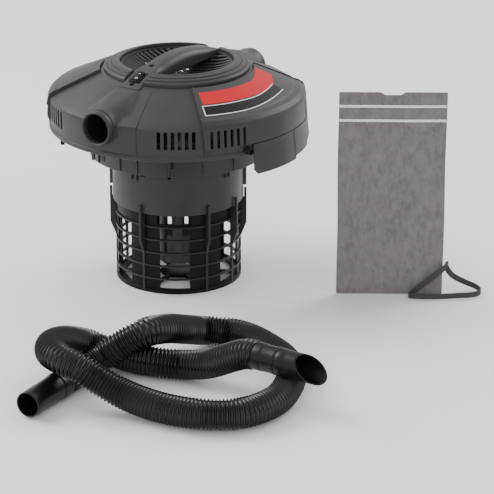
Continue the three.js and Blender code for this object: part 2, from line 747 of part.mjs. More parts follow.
function motorFrame() {
  const outer = STATOR_RADIUS + GAP + 2;
  const seat = BEARING_RADIUS + GAP;
  const body = turned([
    [seat, FRAME_BOTTOM],
    [outer, FRAME_BOTTOM],
    [outer, FRAME_TOP - GAP],
    [outer - 2, FRAME_TOP - GAP],
    [outer - 2, FRAME_BOTTOM + 2],
    [seat + 2.5, FRAME_BOTTOM + 2],
    [seat + 2.5, LOWER_BEARING + BEARING_HEIGHT],
    [seat, LOWER_BEARING + BEARING_HEIGHT],
  ], MEDIUM);
  const windows = [45, 135].map((angle) =>
    turnedBy(block(-14, 14, -outer - 1, outer + 1, COMMUTATOR_BOTTOM - 2, FRAME_TOP - 6), angle));
  const brushPort = block(-outer - 1, outer + 1, -HOLDER_HALF - GAP, HOLDER_HALF + GAP,
    brushMiddle() - HOLDER_HALF - GAP, brushMiddle() + HOLDER_HALF + GAP);
  return cut(body, ...windows, brushPort);
}

// The bridge across the frame's top that carries the upper bearing.
function upperBracket() {
  const outer = STATOR_RADIUS + GAP + 2;
  const seat = BEARING_RADIUS + GAP;
  const bridge = block(-7, 7, -outer + 1, outer - 1, FRAME_TOP, FRAME_TOP + 3);
  const body = union(bridge, disc(seat + 2.5, FRAME_TOP, UPPER_BEARING + BEARING_HEIGHT, SMALL));
  return cut(
    body,
    disc(seat, UPPER_BEARING - 0.01, FRAME_TOP + 20, SMALL),
    disc(SHAFT_RADIUS + MOVING_GAP, FRAME_TOP - 1, FRAME_TOP + 20, SMALL),
  );
}

function statorCore() {
  const bore = ARMATURE_RADIUS + 1;
  return ring(STATOR_RADIUS, bore, STACK_BOTTOM, STACK_TOP);
}

// A field winding's end turns, above or below the stack.
function fieldCoil(low) {
  return turned([
    [ARMATURE_RADIUS + 5, low],
    [STATOR_RADIUS - 6, low],
    [STATOR_RADIUS - 3, low + 3],
    [STATOR_RADIUS - 6, low + 6],
    [ARMATURE_RADIUS + 5, low + 6],
  ], MEDIUM);
}

function bearingRing(low) {
  return ring(BEARING_RADIUS, SHAFT_RADIUS + RUNNING_GAP, low, low + BEARING_HEIGHT - GAP, SMALL);
}

const shaft = () => disc(SHAFT_RADIUS, SHAFT_BOTTOM, FAN_BOTTOM + 9, SMALL);

const ARMATURE_SLOTS = 12;

function armature() {
  const core = ring(ARMATURE_RADIUS, SHAFT_RADIUS + RUNNING_GAP, STACK_BOTTOM, STACK_TOP);
  const slots = [];
  for (let i = 0; i < ARMATURE_SLOTS; i += 1) {
    const slot = block(-1.2, 1.2, -ARMATURE_RADIUS - 1, 7 - ARMATURE_RADIUS, STACK_BOTTOM - 1, STACK_TOP + 1);
    slots.push(turnedBy(slot, (i * 360) / ARMATURE_SLOTS));
  }
  return cut(core, ...slots);
}

function commutator() {
  const high = COMMUTATOR_BOTTOM + COMMUTATOR_HEIGHT;
  return ring(COMMUTATOR_RADIUS, SHAFT_RADIUS + RUNNING_GAP, COMMUTATOR_BOTTOM, high, SMALL);
}

function impellerNut() {
  return ring(7, SHAFT_RADIUS + RUNNING_GAP, SHAFT_BOTTOM, TURBINE_BOTTOM + 2 - GAP, 6)
    .subtract(disc(SHAFT_RADIUS + RUNNING_GAP, SHAFT_BOTTOM - 1, TURBINE_BOTTOM + 4, SMALL));
}

const BRUSH_HALF = 3;
const HOLDER_HALF = 5;
const brushMiddle = () => COMMUTATOR_BOTTOM + COMMUTATOR_HEIGHT / 2;

function brush(side) {
  const near = COMMUTATOR_RADIUS + GAP;
  const z = brushMiddle();
  const body = block(near, near + 14, -BRUSH_HALF, BRUSH_HALF, z - BRUSH_HALF, z + BRUSH_HALF);
  return side < 0 ? mirroredX(body) : body;
}

function brushHolder(side) {
  const near = COMMUTATOR_RADIUS + 5;
  const far = STATOR_RADIUS + GAP + 2;
  const z = brushMiddle();
  const bore = BRUSH_HALF + GAP;
  const body = block(near, far, -HOLDER_HALF, HOLDER_HALF, z - HOLDER_HALF, z + HOLDER_HALF)
    .subtract(block(near - 1, far - 3, -bore, bore, z - bore, z + bore));
  return side < 0 ? mirroredX(body) : body;
}

// ---- air ducts ------------------------------------------------------------------------------
// An elbow from a port: a round pipe inwards, then a flat box down.
function duct(near, far, half, low) {
  const wall = DUCT_WALL;
  const top = PORT_Z + DUCT_RADIUS;
  const face = PORT_FACE - GAP;
  return cut(
    union(
      barrel(DUCT_RADIUS, -face, -(near + far) / 2, PORT_Z, SMALL),
      block(-half, half, -far, -near, low, top),
    ),
    barrel(PORT_BORE, -face - 1, -(near + far) / 2, PORT_Z, SMALL),
    block(-half + wall, half - wall, -far + wall, -near - wall, low - 1, top - wall),
  );
}

const inletDuct = () => duct(DISCHARGE_NEAR, DISCHARGE_FAR, DISCHARGE_HALF, SEAT_BOTTOM + 1);

const EXHAUST_DEPTH = 26;

// The exhaust duct takes the air at the turbine case's side outlet.
function exhaustDuct() {
  const near = TURBINE_RADIUS + MOVING_GAP + 2 + 1.6 + GAP;
  const low = FAN_CASE_BOTTOM;
  const opening = block(-24, 24, -near - 4, -near + 4, low + 4, FAN_CASE_TOP - 4);
  const floor = block(-DISCHARGE_HALF, DISCHARGE_HALF, -near - EXHAUST_DEPTH, -near, low, low + DUCT_WALL);
  const elbow = duct(near, near + EXHAUST_DEPTH, DISCHARGE_HALF, low).subtract(opening).add(floor);
  return turnedBy(elbow, 180);
}

// ---- hose -----------------------------------------------------------------------------------
// The hose's centreline as it lies on the floor, from its head-end cuff to its tool cuff.
const HOSE_ROUTE = [
  [134, -441, 20.2], [131, -405, 20.2], [140, -377, 28], [161, -358, 45], [184, -334, 61],
  [189, -296, 55], [186, -248, 37], [190, -212, 24], [212, -191, 20.2], [246, -189, 20.2],
  [288, -203, 20.2], [328, -224, 20.2], [360, -255, 20.2], [382, -297, 20.2], [393, -345, 20.2],
  [380, -396, 20.2], [341, -427, 20.2], [289, -440, 20.2], [233, -444, 26], [198, -452, 40],
  [173, -461, 55], [148, -464, 61], [124, -454, 61], [106, -431, 59], [98, -402, 53],
  [99, -373, 43], [109, -350, 32], [131, -336, 23], [160, -333, 20.2], [190, -329, 20.2],
  [230, -315, 20.5], [268, -310, 29], [302, -311, 46], [324, -312, 56.5],
  [334, -312, 59], [344, -312, 59.4],
];
const HOSE_STEPS = 64;
const HOSE_SIDES = 8;
const NOZZLE_START = HOSE_ROUTE[HOSE_ROUTE.length - 1];

function hoseTube() {
  const points = HOSE_ROUTE.map((point) => new THREE.Vector3(...point));
  const route = new THREE.CatmullRomCurve3(points, false, 'centripetal');
  const section = new THREE.Shape();
  for (let i = 0; i < HOSE_SIDES; i += 1) {
    const angle = ((i + 0.5) * 2 * Math.PI) / HOSE_SIDES;
    const place = [HOSE_RADIUS * Math.cos(angle), HOSE_RADIUS * Math.sin(angle)];
    if (i === 0) section.moveTo(...place);
    else section.lineTo(...place);
  }
  section.closePath();
  const sweep = { steps: HOSE_STEPS, extrudePath: route, bevelEnabled: false };
  return solid(new THREE.ExtrudeGeometry(section, sweep));
}

// The plain cuff on the head end, in line with the hose's first stretch.
function hoseCuff() {
  const bore = CUFF_RADIUS - CUFF_WALL;
  const body = cut(disc(CUFF_RADIUS, GAP, CUFF_LENGTH, SMALL), disc(bore, 6, CUFF_LENGTH + 1, SMALL));
  const [[x0, y0], [x1, y1]] = HOSE_ROUTE;
  const heading = Math.atan2(x0 - x1, y1 - y0);
  const lay = new THREE.Matrix4().makeRotationZ(heading).setPosition(x0, y0, CUFF_RADIUS + GAP);
  return placed(body, lay.multiply(new THREE.Matrix4().makeRotationX(Math.PI / 2)));
}

const SPIGOT_RADIUS = CUFF_RADIUS - CUFF_WALL;
const SPIGOT_LENGTH = 18;

// The cuff on the tool end, with the spigot that the nozzle turns on.
function toolCuff() {
  const [x, y, z] = NOZZLE_START;
  const shoulder = x + TOOL_CUFF_LENGTH;
  return cut(
    union(
      roller(CUFF_RADIUS, x + MOVING_GAP, shoulder, y, z),
      roller(SPIGOT_RADIUS, x + MOVING_GAP, shoulder + SPIGOT_LENGTH, y, z),
    ),
    roller(SPIGOT_RADIUS - CUFF_WALL, x + 8, shoulder + SPIGOT_LENGTH + 1, y, z),
  );
}

// The short slant-cut nozzle.
function nozzle() {
  const [x0, y, z] = NOZZLE_START;
  const x = x0 + TOOL_CUFF_LENGTH + GAP;
  const bore = SPIGOT_RADIUS + GAP;
  const end = x + NOZZLE_LENGTH;
  const slant = NOZZLE_LENGTH - 28;
  const away = solid(new THREE.ExtrudeGeometry(
    new THREE.Shape([
      new THREE.Vector2(end - 3, -CUFF_RADIUS),
      new THREE.Vector2(end + 30, -CUFF_RADIUS),
      new THREE.Vector2(end + 30, CUFF_RADIUS + 20),
      new THREE.Vector2(end - slant - 20, CUFF_RADIUS + 20),
      new THREE.Vector2(end - slant, CUFF_RADIUS),
    ]),
    { depth: 4 * CUFF_RADIUS, bevelEnabled: false },
  ).translate(0, 0, -2 * CUFF_RADIUS).rotateX(Math.PI / 2 + degrees(NOZZLE_ROLL)).translate(0, y, z));
  return cut(roller(CUFF_RADIUS, x, end, y, z), roller(bore, x - 1, end + 1, y, z), away);
}

// ---- filter bag and band ----------------------------------------------------------------------
// The bag stands upright on its folded end, and the band lies round its lower corner.
const BAG_PLACE = [297, 96, 0];
const BAG_TURN = 33;
const bagGroup = new THREE.Group();
bagGroup.position.set(...BAG_PLACE);
bagGroup.rotation.z = degrees(BAG_TURN);
vacuum.add(bagGroup);

function filterBag() {
  const half = BAG_WIDTH / 2;
  const notch = 17;
  const shape = new THREE.Shape([
    new THREE.Vector2(-half, 0),
    new THREE.Vector2(half, 0),
    new THREE.Vector2(half, BAG_HEIGHT),
    new THREE.Vector2(notch, BAG_HEIGHT),
    new THREE.Vector2(notch - 5, BAG_HEIGHT - 4),
    new THREE.Vector2(-notch + 5, BAG_HEIGHT - 4),
    new THREE.Vector2(-notch, BAG_HEIGHT),
    new THREE.Vector2(-half, BAG_HEIGHT),
  ]);
  const geometry = new THREE.ExtrudeGeometry(shape, { depth: BAG_THICKNESS, bevelEnabled: false });
  return solid(geometry.translate(0, 0, -BAG_THICKNESS / 2).rotateX(Math.PI / 2));
}

// The band: a flat elastic loop that rises over the bag's side edge and trails on the floor.
function retainerBand() {
  const edge = BAG_WIDTH / 2;
  const clear = BAG_THICKNESS / 2 + BAND_WIDTH / 2 + BAND_CLEARANCE;
  const route = new THREE.CatmullRomCurve3([
    [edge - 46, -clear - 5, 5],
    [edge - 34, -clear - 1.5, 13],
    [edge - 16, -clear, 27],
    [edge - 1, -clear, 40],
    [edge + 7, 0, 45],
    [edge + 5, clear, 39],
    [edge + 14, clear + 4, 24],
    [edge + 32, clear + 9, 12],
    [edge + 48, clear + 6, 6],
    [edge + 54, -1, 5],
    [edge + 44, -clear - 6, 5],
    [edge + 20, -clear - 11, 5],
    [edge - 10, -clear - 15, 5],
    [edge - 36, -clear - 14, 5],
    [edge - 48, -clear - 10, 5],
  ].map((point) => new THREE.Vector3(...point)), true, 'centripetal');
  const half = BAND_THICKNESS / 2;
  const section = new THREE.Shape([
    new THREE.Vector2(-BAND_WIDTH / 2, -half),
    new THREE.Vector2(BAND_WIDTH / 2, -half),
    new THREE.Vector2(BAND_WIDTH / 2, half),
    new THREE.Vector2(-BAND_WIDTH / 2, half),
  ]);
  return solid(new THREE.ExtrudeGeometry(section, { steps: 48, extrudePath: route, bevelEnabled: false }));
}

// ---- the whole ------------------------------------------------------------------------------
add('upper_housing', upperHousing(), CHARCOAL);
add('inlet_collar', portCollar(-1), CHARCOAL);
add('exhaust_collar', portCollar(1), CHARCOAL);
add('grille_collar', grilleCollar(), CHARCOAL);
add('intake_grille', intakeGrille(), CHARCOAL);
add('handle', handle(), CHARCOAL);
add('switch_bezel', switchBezel(), BLACK);
add('rocker_switch', rockerSwitch(), BLACK);
SCREW_PLACES.forEach((place, i) => add(`handle_screw_${i + 1}`, handleScrew(place), STEEL));
add('right_guard', sideGuard(), CHARCOAL);
add('left_guard', mirroredX(sideGuard()), CHARCOAL);
add('cord_gland', cordGland(), BLACK);
add('lower_housing', lowerHousing(), CHARCOAL);
add('bucket_seal', bucketSeal(), RUBBER);
for (const [place, angle] of Object.entries(HOUSING_SCREWS)) {
  add(`housing_screw_${place}`, housingScrew(angle), STEEL);
}
add('neck_drum', neckDrum(), CHARCOAL);
add('filter_cage', filterCage(), BLACK);
add('cage_base', cageBase(), BLACK);
add('float_cage', floatCage(), GREY);
add('float', floatCup(), GREY);
add('inlet_duct', inletDuct(), GREY);
add('exhaust_duct', exhaustDuct(), GREY);
add('fan_case', fanCase(), ALUMINIUM);
add('impeller', impeller(), ALUMINIUM);
add('impeller_nut', impellerNut(), STEEL);
add('motor_frame', motorFrame(), STEEL);
add('upper_bracket', upperBracket(), STEEL);
add('stator_core', statorCore(), STEEL);
add('lower_field_coil', fieldCoil(STACK_BOTTOM - 6 - GAP), COPPER);
add('upper_field_coil', fieldCoil(STACK_TOP + GAP), COPPER);
add('lower_bearing', bearingRing(LOWER_BEARING), STEEL);
add('upper_bearing', bearingRing(UPPER_BEARING), STEEL);
add('motor_shaft', shaft(), STEEL);
add('armature', armature(), STEEL);
add('commutator', commutator(), COPPER);
add('cooling_fan', coolingFan(), BLACK);
add('left_brush', brush(-1), BLACK);
add('right_brush', brush(1), BLACK);
add('left_brush_holder', brushHolder(-1), BLACK);
add('right_brush_holder', brushHolder(1), BLACK);
add('hose', hoseTube(), BLACK);
add('hose_cuff', hoseCuff(), BLACK);
add('tool_cuff', toolCuff(), BLACK);
add('nozzle', nozzle(), BLACK);
add('filter_bag', filterBag(), CLOTH, bagGroup);
add('retainer_band', retainerBand(), RUBBER, bagGroup);

export default vacuum;
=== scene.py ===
"""Bucket-top shop vacuum: power head, filter cage, corrugated hose, cloth filter bag and elastic band.

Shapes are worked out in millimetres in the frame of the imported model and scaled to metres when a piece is
finished. A bearing is an angle in degrees about the motor axis, from the inlet port towards +X.
"""
from bisect import bisect_right
from math import atan2, ceil, cos, hypot, pi, radians, sin, sqrt, tan

import bmesh
import bpy
from mathutils import Matrix, Vector


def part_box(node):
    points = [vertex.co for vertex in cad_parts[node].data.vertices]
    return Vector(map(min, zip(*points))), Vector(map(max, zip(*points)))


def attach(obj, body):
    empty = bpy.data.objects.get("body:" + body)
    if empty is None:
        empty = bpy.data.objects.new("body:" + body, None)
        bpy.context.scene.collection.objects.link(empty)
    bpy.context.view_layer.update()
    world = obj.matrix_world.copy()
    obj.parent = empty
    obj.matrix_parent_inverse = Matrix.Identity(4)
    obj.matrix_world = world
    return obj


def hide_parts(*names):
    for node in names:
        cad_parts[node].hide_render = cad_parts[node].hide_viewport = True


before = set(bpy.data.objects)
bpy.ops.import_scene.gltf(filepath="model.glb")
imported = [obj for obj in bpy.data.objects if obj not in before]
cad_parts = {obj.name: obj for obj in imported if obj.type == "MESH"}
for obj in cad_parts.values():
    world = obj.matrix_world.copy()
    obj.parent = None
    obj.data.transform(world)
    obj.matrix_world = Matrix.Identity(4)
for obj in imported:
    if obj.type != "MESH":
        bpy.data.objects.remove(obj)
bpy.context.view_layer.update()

bl_info = {
    "name": "Bucket Top Shop Vacuum",
    "version": (1, 0, 0),
    "blender": (4, 5, 0),
    "location": "View3D > Sidebar > Vacuum",
    "description": "Dresses the packed frame of a bucket-top shop vacuum with finished pieces",
    "category": "Object",
}

MM = 0.001


def low(node):
    """A CAD node's lowest corner, in millimetres."""
    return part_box(node)[0] / MM


def high(node):
    """A CAD node's highest corner, in millimetres."""
    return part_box(node)[1] / MM


# ---- sizes that come from the frame --------------------------------------------------------------
SKIRT_RADIUS = 180.0
SKIRT_FOOT = low("upper_housing").z
PANEL_RADIUS = high("upper_housing").x
PANEL_FOOT = 243.0
PANEL_FROM, PANEL_TO = 47.0, 133.0
DOME_FOOT = (168.5, 279.0)
DOME_RISE = 0.448
COLLAR_RADIUS = high("grille_collar").x
RIM_TOP = high("grille_collar").z
RIM_RADIUS = high("intake_grille").x + 0.4
GRILLE_TOP = high("intake_grille").z
GRILLE_DISH = 23.0
FOOT_LENGTH = 52.0
HANDLE_HALF = high("handle").x
HANDLE_REACH = high("handle").y
HANDLE_CREST = high("handle").z
HANDLE_FOOT = low("handle").z
GRIP_UNDERSIDE = 309.0
PORT_RADIUS = high("inlet_collar").x
PORT_Z = (low("inlet_collar").z + high("inlet_collar").z) / 2
PORT_MOUTH = -low("inlet_collar").y
PORT_BORE = PORT_RADIUS - 4.5
SEAT_RADIUS = 125.0
SEAT_FOOT = low("lower_housing").z
DRUM_RADIUS = 93.5
DRUM_FOOT = low("neck_drum").z
DRUM_TOP = high("neck_drum").z
CAGE_RADIUS = 88.0
CAGE_WALL = 2.5
CAGE_TOP = 127.0
RIB_PROUD = 2.0
RIB_THICK = 2.4
RIB_HEIGHTS = [20.0 + 19.4 * i for i in range(5)]
WINDOW_SWEEP = 28.3
FIN_ANGLES = [2.0 + 60.0 * i for i in range(6)]
FIN_THICK = 3.6
FIN_RADIUS = 98.0
FIN_TOP = 131.0
GUARD_FROM, GUARD_TO = 70.0, 130.0
GUARD_FOOT = low("right_guard").z
GUARD_TOP = high("right_guard").z
BAG_PLACE = Vector((297.0, 96.0, 0.0))
BAG_TURN = 33.0
BAG_WIDTH = 150.0
BAG_HEIGHT = high("filter_bag").z
HOSE_RADIUS = 20.0
CUFF_RADIUS = 18.2
CUFF_WALL = 2.2

# The hose's centreline as it lies, from its head-end cuff to its tool cuff, in metres.
HOSE_ROUTE = [
    (0.134, -0.441, 0.0202), (0.131, -0.405, 0.0202), (0.140, -0.377, 0.028), (0.161, -0.358, 0.045),
    (0.184, -0.334, 0.061), (0.189, -0.296, 0.055), (0.186, -0.248, 0.037), (0.190, -0.212, 0.024),
    (0.212, -0.191, 0.0202), (0.246, -0.189, 0.0202), (0.288, -0.203, 0.0202), (0.328, -0.224, 0.0202),
    (0.360, -0.255, 0.0202), (0.382, -0.297, 0.0202), (0.393, -0.345, 0.0202), (0.380, -0.396, 0.0202),
    (0.341, -0.427, 0.0202), (0.289, -0.440, 0.0202), (0.233, -0.444, 0.026), (0.198, -0.452, 0.040),
    (0.173, -0.461, 0.055), (0.148, -0.464, 0.061), (0.124, -0.454, 0.061), (0.106, -0.431, 0.059),
    (0.098, -0.402, 0.053), (0.099, -0.373, 0.043), (0.109, -0.350, 0.032), (0.131, -0.336, 0.023),
    (0.160, -0.333, 0.0202), (0.190, -0.329, 0.0202), (0.230, -0.315, 0.0205), (0.268, -0.310, 0.029),
    (0.302, -0.311, 0.046), (0.324, -0.312, 0.0565), (0.334, -0.312, 0.059), (0.344, -0.312, 0.0594),
]


# ---- shaping -------------------------------------------------------------------------------------
def bearing(radius, angle, z=0.0):
    """The place at a radius and bearing angle."""
    return Vector((radius * sin(radians(angle)), -radius * cos(radians(angle)), z))


def smooth_step(value):
    """0 below 0, 1 above 1 and an easy curve between."""
    held = max(0.0, min(1.0, value))
    return held * held * (3 - 2 * held)


def rounded(outline, radius, closed=True, steps=3):
    """The outline with a curve of about that radius at each corner."""
    made = []
    count = len(outline)
    for i, corner in enumerate(outline):
        here = Vector(corner)
        if not closed and i in (0, count - 1):
            made.append(here)
            continue
        back = Vector(outline[i - 1]) - here
        ahead = Vector(outline[(i + 1) % count]) - here
        angle = back.angle(ahead)
        if angle > radians(172):
            made.append(here)
            continue
        reach = min(radius / tan(angle / 2), 0.45 * back.length, 0.45 * ahead.length)
        first = here + back.normalized() * reach
        last = here + ahead.normalized() * reach
        for step in range(steps + 1):
            t = step / steps
            made.append(first * (1 - t) ** 2 + here * 2 * t * (1 - t) + last * t * t)
    return made


def turned(bm, section, steps=128, start=0.0, sweep=360.0, closed=True):
    """Turns a section of (radius, z) points about Z, with end caps on a closed section's part turn."""
    full = sweep >= 360.0
    verts = [bm.verts.new(bearing(radius, start, z)) for radius, z in section]
    pairs = list(zip(verts, verts[1:])) + ([(verts[-1], verts[0])] if closed else [])
    edges = [bm.edges.new(pair) for pair in pairs]
    faces = [] if full or not closed else [bm.faces.new(verts)]
    made = bmesh.ops.spin(
        bm, geom=verts + edges + faces, cent=(0, 0, 0), axis=(0, 0, 1), angle=radians(sweep),
        steps=steps, use_merge=full, use_duplicate=False, use_normal_flip=False,
    )
    return made


def box(bm, size, place=(0, 0, 0), turn=None, round_edges=0.0, segments=2):
    """A box of that size about a place, with its edges rounded, then turned by a matrix."""
    made = bmesh.ops.create_cube(bm, size=1.0)["verts"]
    bmesh.ops.scale(bm, vec=size, verts=made)
    if round_edges:
        edges = list({edge for vert in made for edge in vert.link_edges})
        bevelled = bmesh.ops.bevel(
            bm, geom=edges, offset=round_edges, segments=segments, profile=0.5, affect="EDGES", material=-1,
        )
        kept = {vert for vert in made if vert.is_valid}
        made = list({vert for face in bevelled["faces"] for vert in face.verts} | kept)
    bmesh.ops.translate(bm, vec=place, verts=made)
    if turn is not None:
        bmesh.ops.transform(bm, matrix=turn, verts=made)
    return made


def extruded(bm, outline, depth, matrix):
    """An outline of (x, y) points raised by a depth along its own Z, centred, then placed by a matrix."""
    verts = [bm.verts.new((x, y, -depth / 2)) for x, y in outline]
    face = bm.faces.new(verts)
    made = bmesh.ops.extrude_face_region(bm, geom=[face])["geom"]
    raised = [item for item in made if isinstance(item, bmesh.types.BMVert)]
    bmesh.ops.translate(bm, vec=(0, 0, depth), verts=raised)
    bmesh.ops.transform(bm, matrix=matrix, verts=verts + raised)
    return verts + raised


def lofted(bm, rings):
    """A closed skin over a row of rings that all have the same number of points."""
    rows = [[bm.verts.new(point) for point in ring] for ring in rings]
    count = len(rows[0])
    for back, ahead in zip(rows, rows[1:]):
        for i in range(count):
            j = (i + 1) % count
            bm.faces.new((back[i], back[j], ahead[j], ahead[i]))
    bm.faces.new(rows[0])
    bm.faces.new(rows[-1])
    return [vert for row in rows for vert in row]


def round_sharp(bm, offset, angle=50.0, segments=3):
    """Rounds the edges that are sharper than an angle."""
    limit = radians(angle)
    sharp = [edge for edge in bm.edges if len(edge.link_faces) == 2 and edge.calc_face_angle(0) > limit]
    bmesh.ops.bevel(
        bm, geom=sharp, offset=offset, segments=segments, profile=0.5, affect="EDGES", material=-1,
        clamp_overlap=True,
    )


def bearing_turn(angle):
    """The matrix that turns a shape facing the inlet to face a bearing."""
    return Matrix.Rotation(radians(angle), 4, "Z")


def outwards(side):
    """The matrix that lays a shape turned about Z along the port axis, out of the inlet or the exhaust."""
    faced = Matrix.Translation((0, 0, PORT_Z)) @ Matrix.Rotation(radians(90), 4, "X")
    return faced if side < 0 else Matrix.Rotation(pi, 4, "Z") @ faced


def tidy(bm):
    """Merges doubles and points every face outwards."""
    bmesh.ops.remove_doubles(bm, verts=bm.verts, dist=0.003)
    bmesh.ops.recalc_face_normals(bm, faces=bm.faces)


def scratch_object(bm):
    """A bmesh as an object for a moment, for a Boolean modifier."""
    tidy(bm)
    mesh = bpy.data.meshes.new("carving")
    bm.to_mesh(mesh)
    bm.free()
    made = bpy.data.objects.new("carving", mesh)
    bpy.context.scene.collection.objects.link(made)
    return made


def carved(body, tool, operation="DIFFERENCE"):
    """The body with the tool cut from it, or joined to it. Both are used up."""
    pair = [scratch_object(body), scratch_object(tool)]
    modifier = pair[0].modifiers.new("carve", "BOOLEAN")
    modifier.operation = operation
    modifier.object = pair[1]
    modifier.solver = "EXACT"
    modifier.use_self = True
    result = bmesh.new()
    seen = pair[0].evaluated_get(bpy.context.evaluated_depsgraph_get())
    result.from_mesh(seen.to_mesh())
    seen.to_mesh_clear()
    for scratch in pair:
        mesh = scratch.data
        bpy.data.objects.remove(scratch)
        bpy.data.meshes.remove(mesh)
    return result


def finished(name, bm, finish, body, stands_for=(), smooth=38.0):
    """Makes the piece's object in metres, with its material, and rides it on its CAD body."""
    tidy(bm)
    bmesh.ops.scale(bm, vec=(MM, MM, MM), verts=bm.verts)
    mesh = bpy.data.meshes.new(name)
    bm.to_mesh(mesh)
    bm.free()
    for polygon in mesh.polygons:
        polygon.use_smooth = True
    mesh.set_sharp_from_angle(angle=radians(smooth))
    piece = bpy.data.objects.new(name, mesh)
    bpy.context.scene.collection.objects.link(piece)
    mesh.materials.append(finish)
    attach(piece, body)
    if stands_for:
        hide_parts(*stands_for)
    return piece


def round_normals(piece, width, segments=2, angle=40.0):
    """Gives a piece small rounded edges with a bevel that follows its sharp angles."""
    bevel = piece.modifiers.new("edges", "BEVEL")
    bevel.width = width * MM
    bevel.segments = segments
    bevel.limit_method = "ANGLE"
    bevel.angle_limit = radians(angle)
    bevel.use_clamp_overlap = True
    bevel.harden_normals = True
    return piece


# ---- finishes ------------------------------------------------------------------------------------
def new_group(name, inputs, outputs):
    """An empty shader node group with float inputs and outputs, and its two end nodes."""
    group = bpy.data.node_groups.new(name, "ShaderNodeTree")
    for label, kind, default in inputs:
        socket = group.interface.new_socket(name=label, in_out="INPUT", socket_type=kind)
        if default is not None:
            socket.default_value = default
    for label, kind in outputs:
        group.interface.new_socket(name=label, in_out="OUTPUT", socket_type=kind)
    return group, group.nodes.new("NodeGroupInput"), group.nodes.new("NodeGroupOutput")


def grain_group():
    """Fine moulded grain with a slower mottle under it."""
    group, given, put = new_group(
        "Moulded Grain",
        [("Place", "NodeSocketVector", None), ("Grain Scale", "NodeSocketFloat", 900.0),
         ("Mottle Scale", "NodeSocketFloat", 14.0)],
        [("Height", "NodeSocketFloat"), ("Mottle", "NodeSocketFloat")],
    )
    fine = group.nodes.new("ShaderNodeTexNoise")
    fine.inputs["Detail"].default_value = 3.0
    slow = group.nodes.new("ShaderNodeTexNoise")
    slow.inputs["Detail"].default_value = 4.0
    slow.inputs["Roughness"].default_value = 0.6
    for noise, scale in ((fine, "Grain Scale"), (slow, "Mottle Scale")):
        group.links.new(given.outputs["Place"], noise.inputs["Vector"])
        group.links.new(given.outputs[scale], noise.inputs["Scale"])
    group.links.new(fine.outputs["Fac"], put.inputs["Height"])
    group.links.new(slow.outputs["Fac"], put.inputs["Mottle"])
    return group


def rubbed_and_highlit_edges_group():
    """A mask of the edges that handling has rubbed and that are lightened as a painted highlight, broken up by noise.
    """
    group, given, put = new_group(
        "Rubbed And Highlit Edges",
        [("Place", "NodeSocketVector", None), ("Sharpness", "NodeSocketFloat", 0.53),
         ("Break Up", "NodeSocketFloat", 120.0)],
        [("Mask", "NodeSocketFloat")],
    )
    shape = group.nodes.new("ShaderNodeNewGeometry")
    edge = group.nodes.new("ShaderNodeMapRange")
    edge.inputs["To Max"].default_value = 1.0
    edge.inputs["From Max"].default_value = 0.62
    noise = group.nodes.new("ShaderNodeTexNoise")
    noise.inputs["Detail"].default_value = 2.0
    broken = group.nodes.new("ShaderNodeMath")
    broken.operation = "MULTIPLY"
    group.links.new(shape.outputs["Pointiness"], edge.inputs["Value"])
    group.links.new(given.outputs["Sharpness"], edge.inputs["From Min"])
    group.links.new(given.outputs["Place"], noise.inputs["Vector"])
    group.links.new(given.outputs["Break Up"], noise.inputs["Scale"])
    group.links.new(edge.outputs["Result"], broken.inputs[0])
    group.links.new(noise.outputs["Fac"], broken.inputs[1])
    group.links.new(broken.outputs["Value"], put.inputs["Mask"])
    return group


def dust_group():
    """A mask of faces that look up, where fine dust settles unevenly."""
    group, given, put = new_group(
        "Settled Dust",
        [("Place", "NodeSocketVector", None), ("Patch Scale", "NodeSocketFloat", 30.0)],
        [("Mask", "NodeSocketFloat")],
    )
    shape = group.nodes.new("ShaderNodeNewGeometry")
    split = group.nodes.new("ShaderNodeSeparateXYZ")
    facing = group.nodes.new("ShaderNodeMapRange")
    facing.inputs["From Min"].default_value = 0.55
    facing.inputs["From Max"].default_value = 1.0
    noise = group.nodes.new("ShaderNodeTexNoise")
    noise.inputs["Detail"].default_value = 5.0
    patchy = group.nodes.new("ShaderNodeMath")
    patchy.operation = "MULTIPLY"
    group.links.new(shape.outputs["Normal"], split.inputs["Vector"])
    group.links.new(split.outputs["Z"], facing.inputs["Value"])
    group.links.new(given.outputs["Place"], noise.inputs["Vector"])
    group.links.new(given.outputs["Patch Scale"], noise.inputs["Scale"])
    group.links.new(facing.outputs["Result"], patchy.inputs[0])
    group.links.new(noise.outputs["Fac"], patchy.inputs[1])
    group.links.new(patchy.outputs["Value"], put.inputs["Mask"])
    return group


def shared(name, maker):
    """A shader node group, made the first time it is asked for."""
    return bpy.data.node_groups.get(name) or maker()


def placed_group(tree, name, maker, place, values):
    """A group node in a material, reading the given coordinates."""
    node = tree.nodes.new("ShaderNodeGroup")
    node.node_tree = shared(name, maker)
    tree.links.new(place, node.inputs["Place"])
    for label, value in values.items():
        node.inputs[label].default_value = value
    return node


def mixed(tree, amount, first, second):
    """The colour between two colours or colour outputs, by a mask."""
    node = tree.nodes.new("ShaderNodeMix")
    node.data_type = "RGBA"
    tree.links.new(amount, node.inputs["Factor"])
    for socket, given in ((node.inputs[6], first), (node.inputs[7], second)):
        if isinstance(given, bpy.types.NodeSocket):
            tree.links.new(given, socket)
        else:
            socket.default_value = (*given, 1.0)
    return node.outputs[2]


def scaled(tree, value, least, most, low_end=0.0, high_end=1.0):
    """A value spread from one range to another."""
    node = tree.nodes.new("ShaderNodeMapRange")
    node.inputs["From Min"].default_value = low_end
    node.inputs["From Max"].default_value = high_end
    node.inputs["To Min"].default_value = least
    node.inputs["To Max"].default_value = most
    tree.links.new(value, node.inputs["Value"])
    return node.outputs["Result"]


def bump(tree, height, strength, distance):
    """A Bump node's normal for a height."""
    node = tree.nodes.new("ShaderNodeBump")
    node.inputs["Strength"].default_value = strength
    node.inputs["Distance"].default_value = distance
    tree.links.new(height, node.inputs["Height"])
    return node.outputs["Normal"]


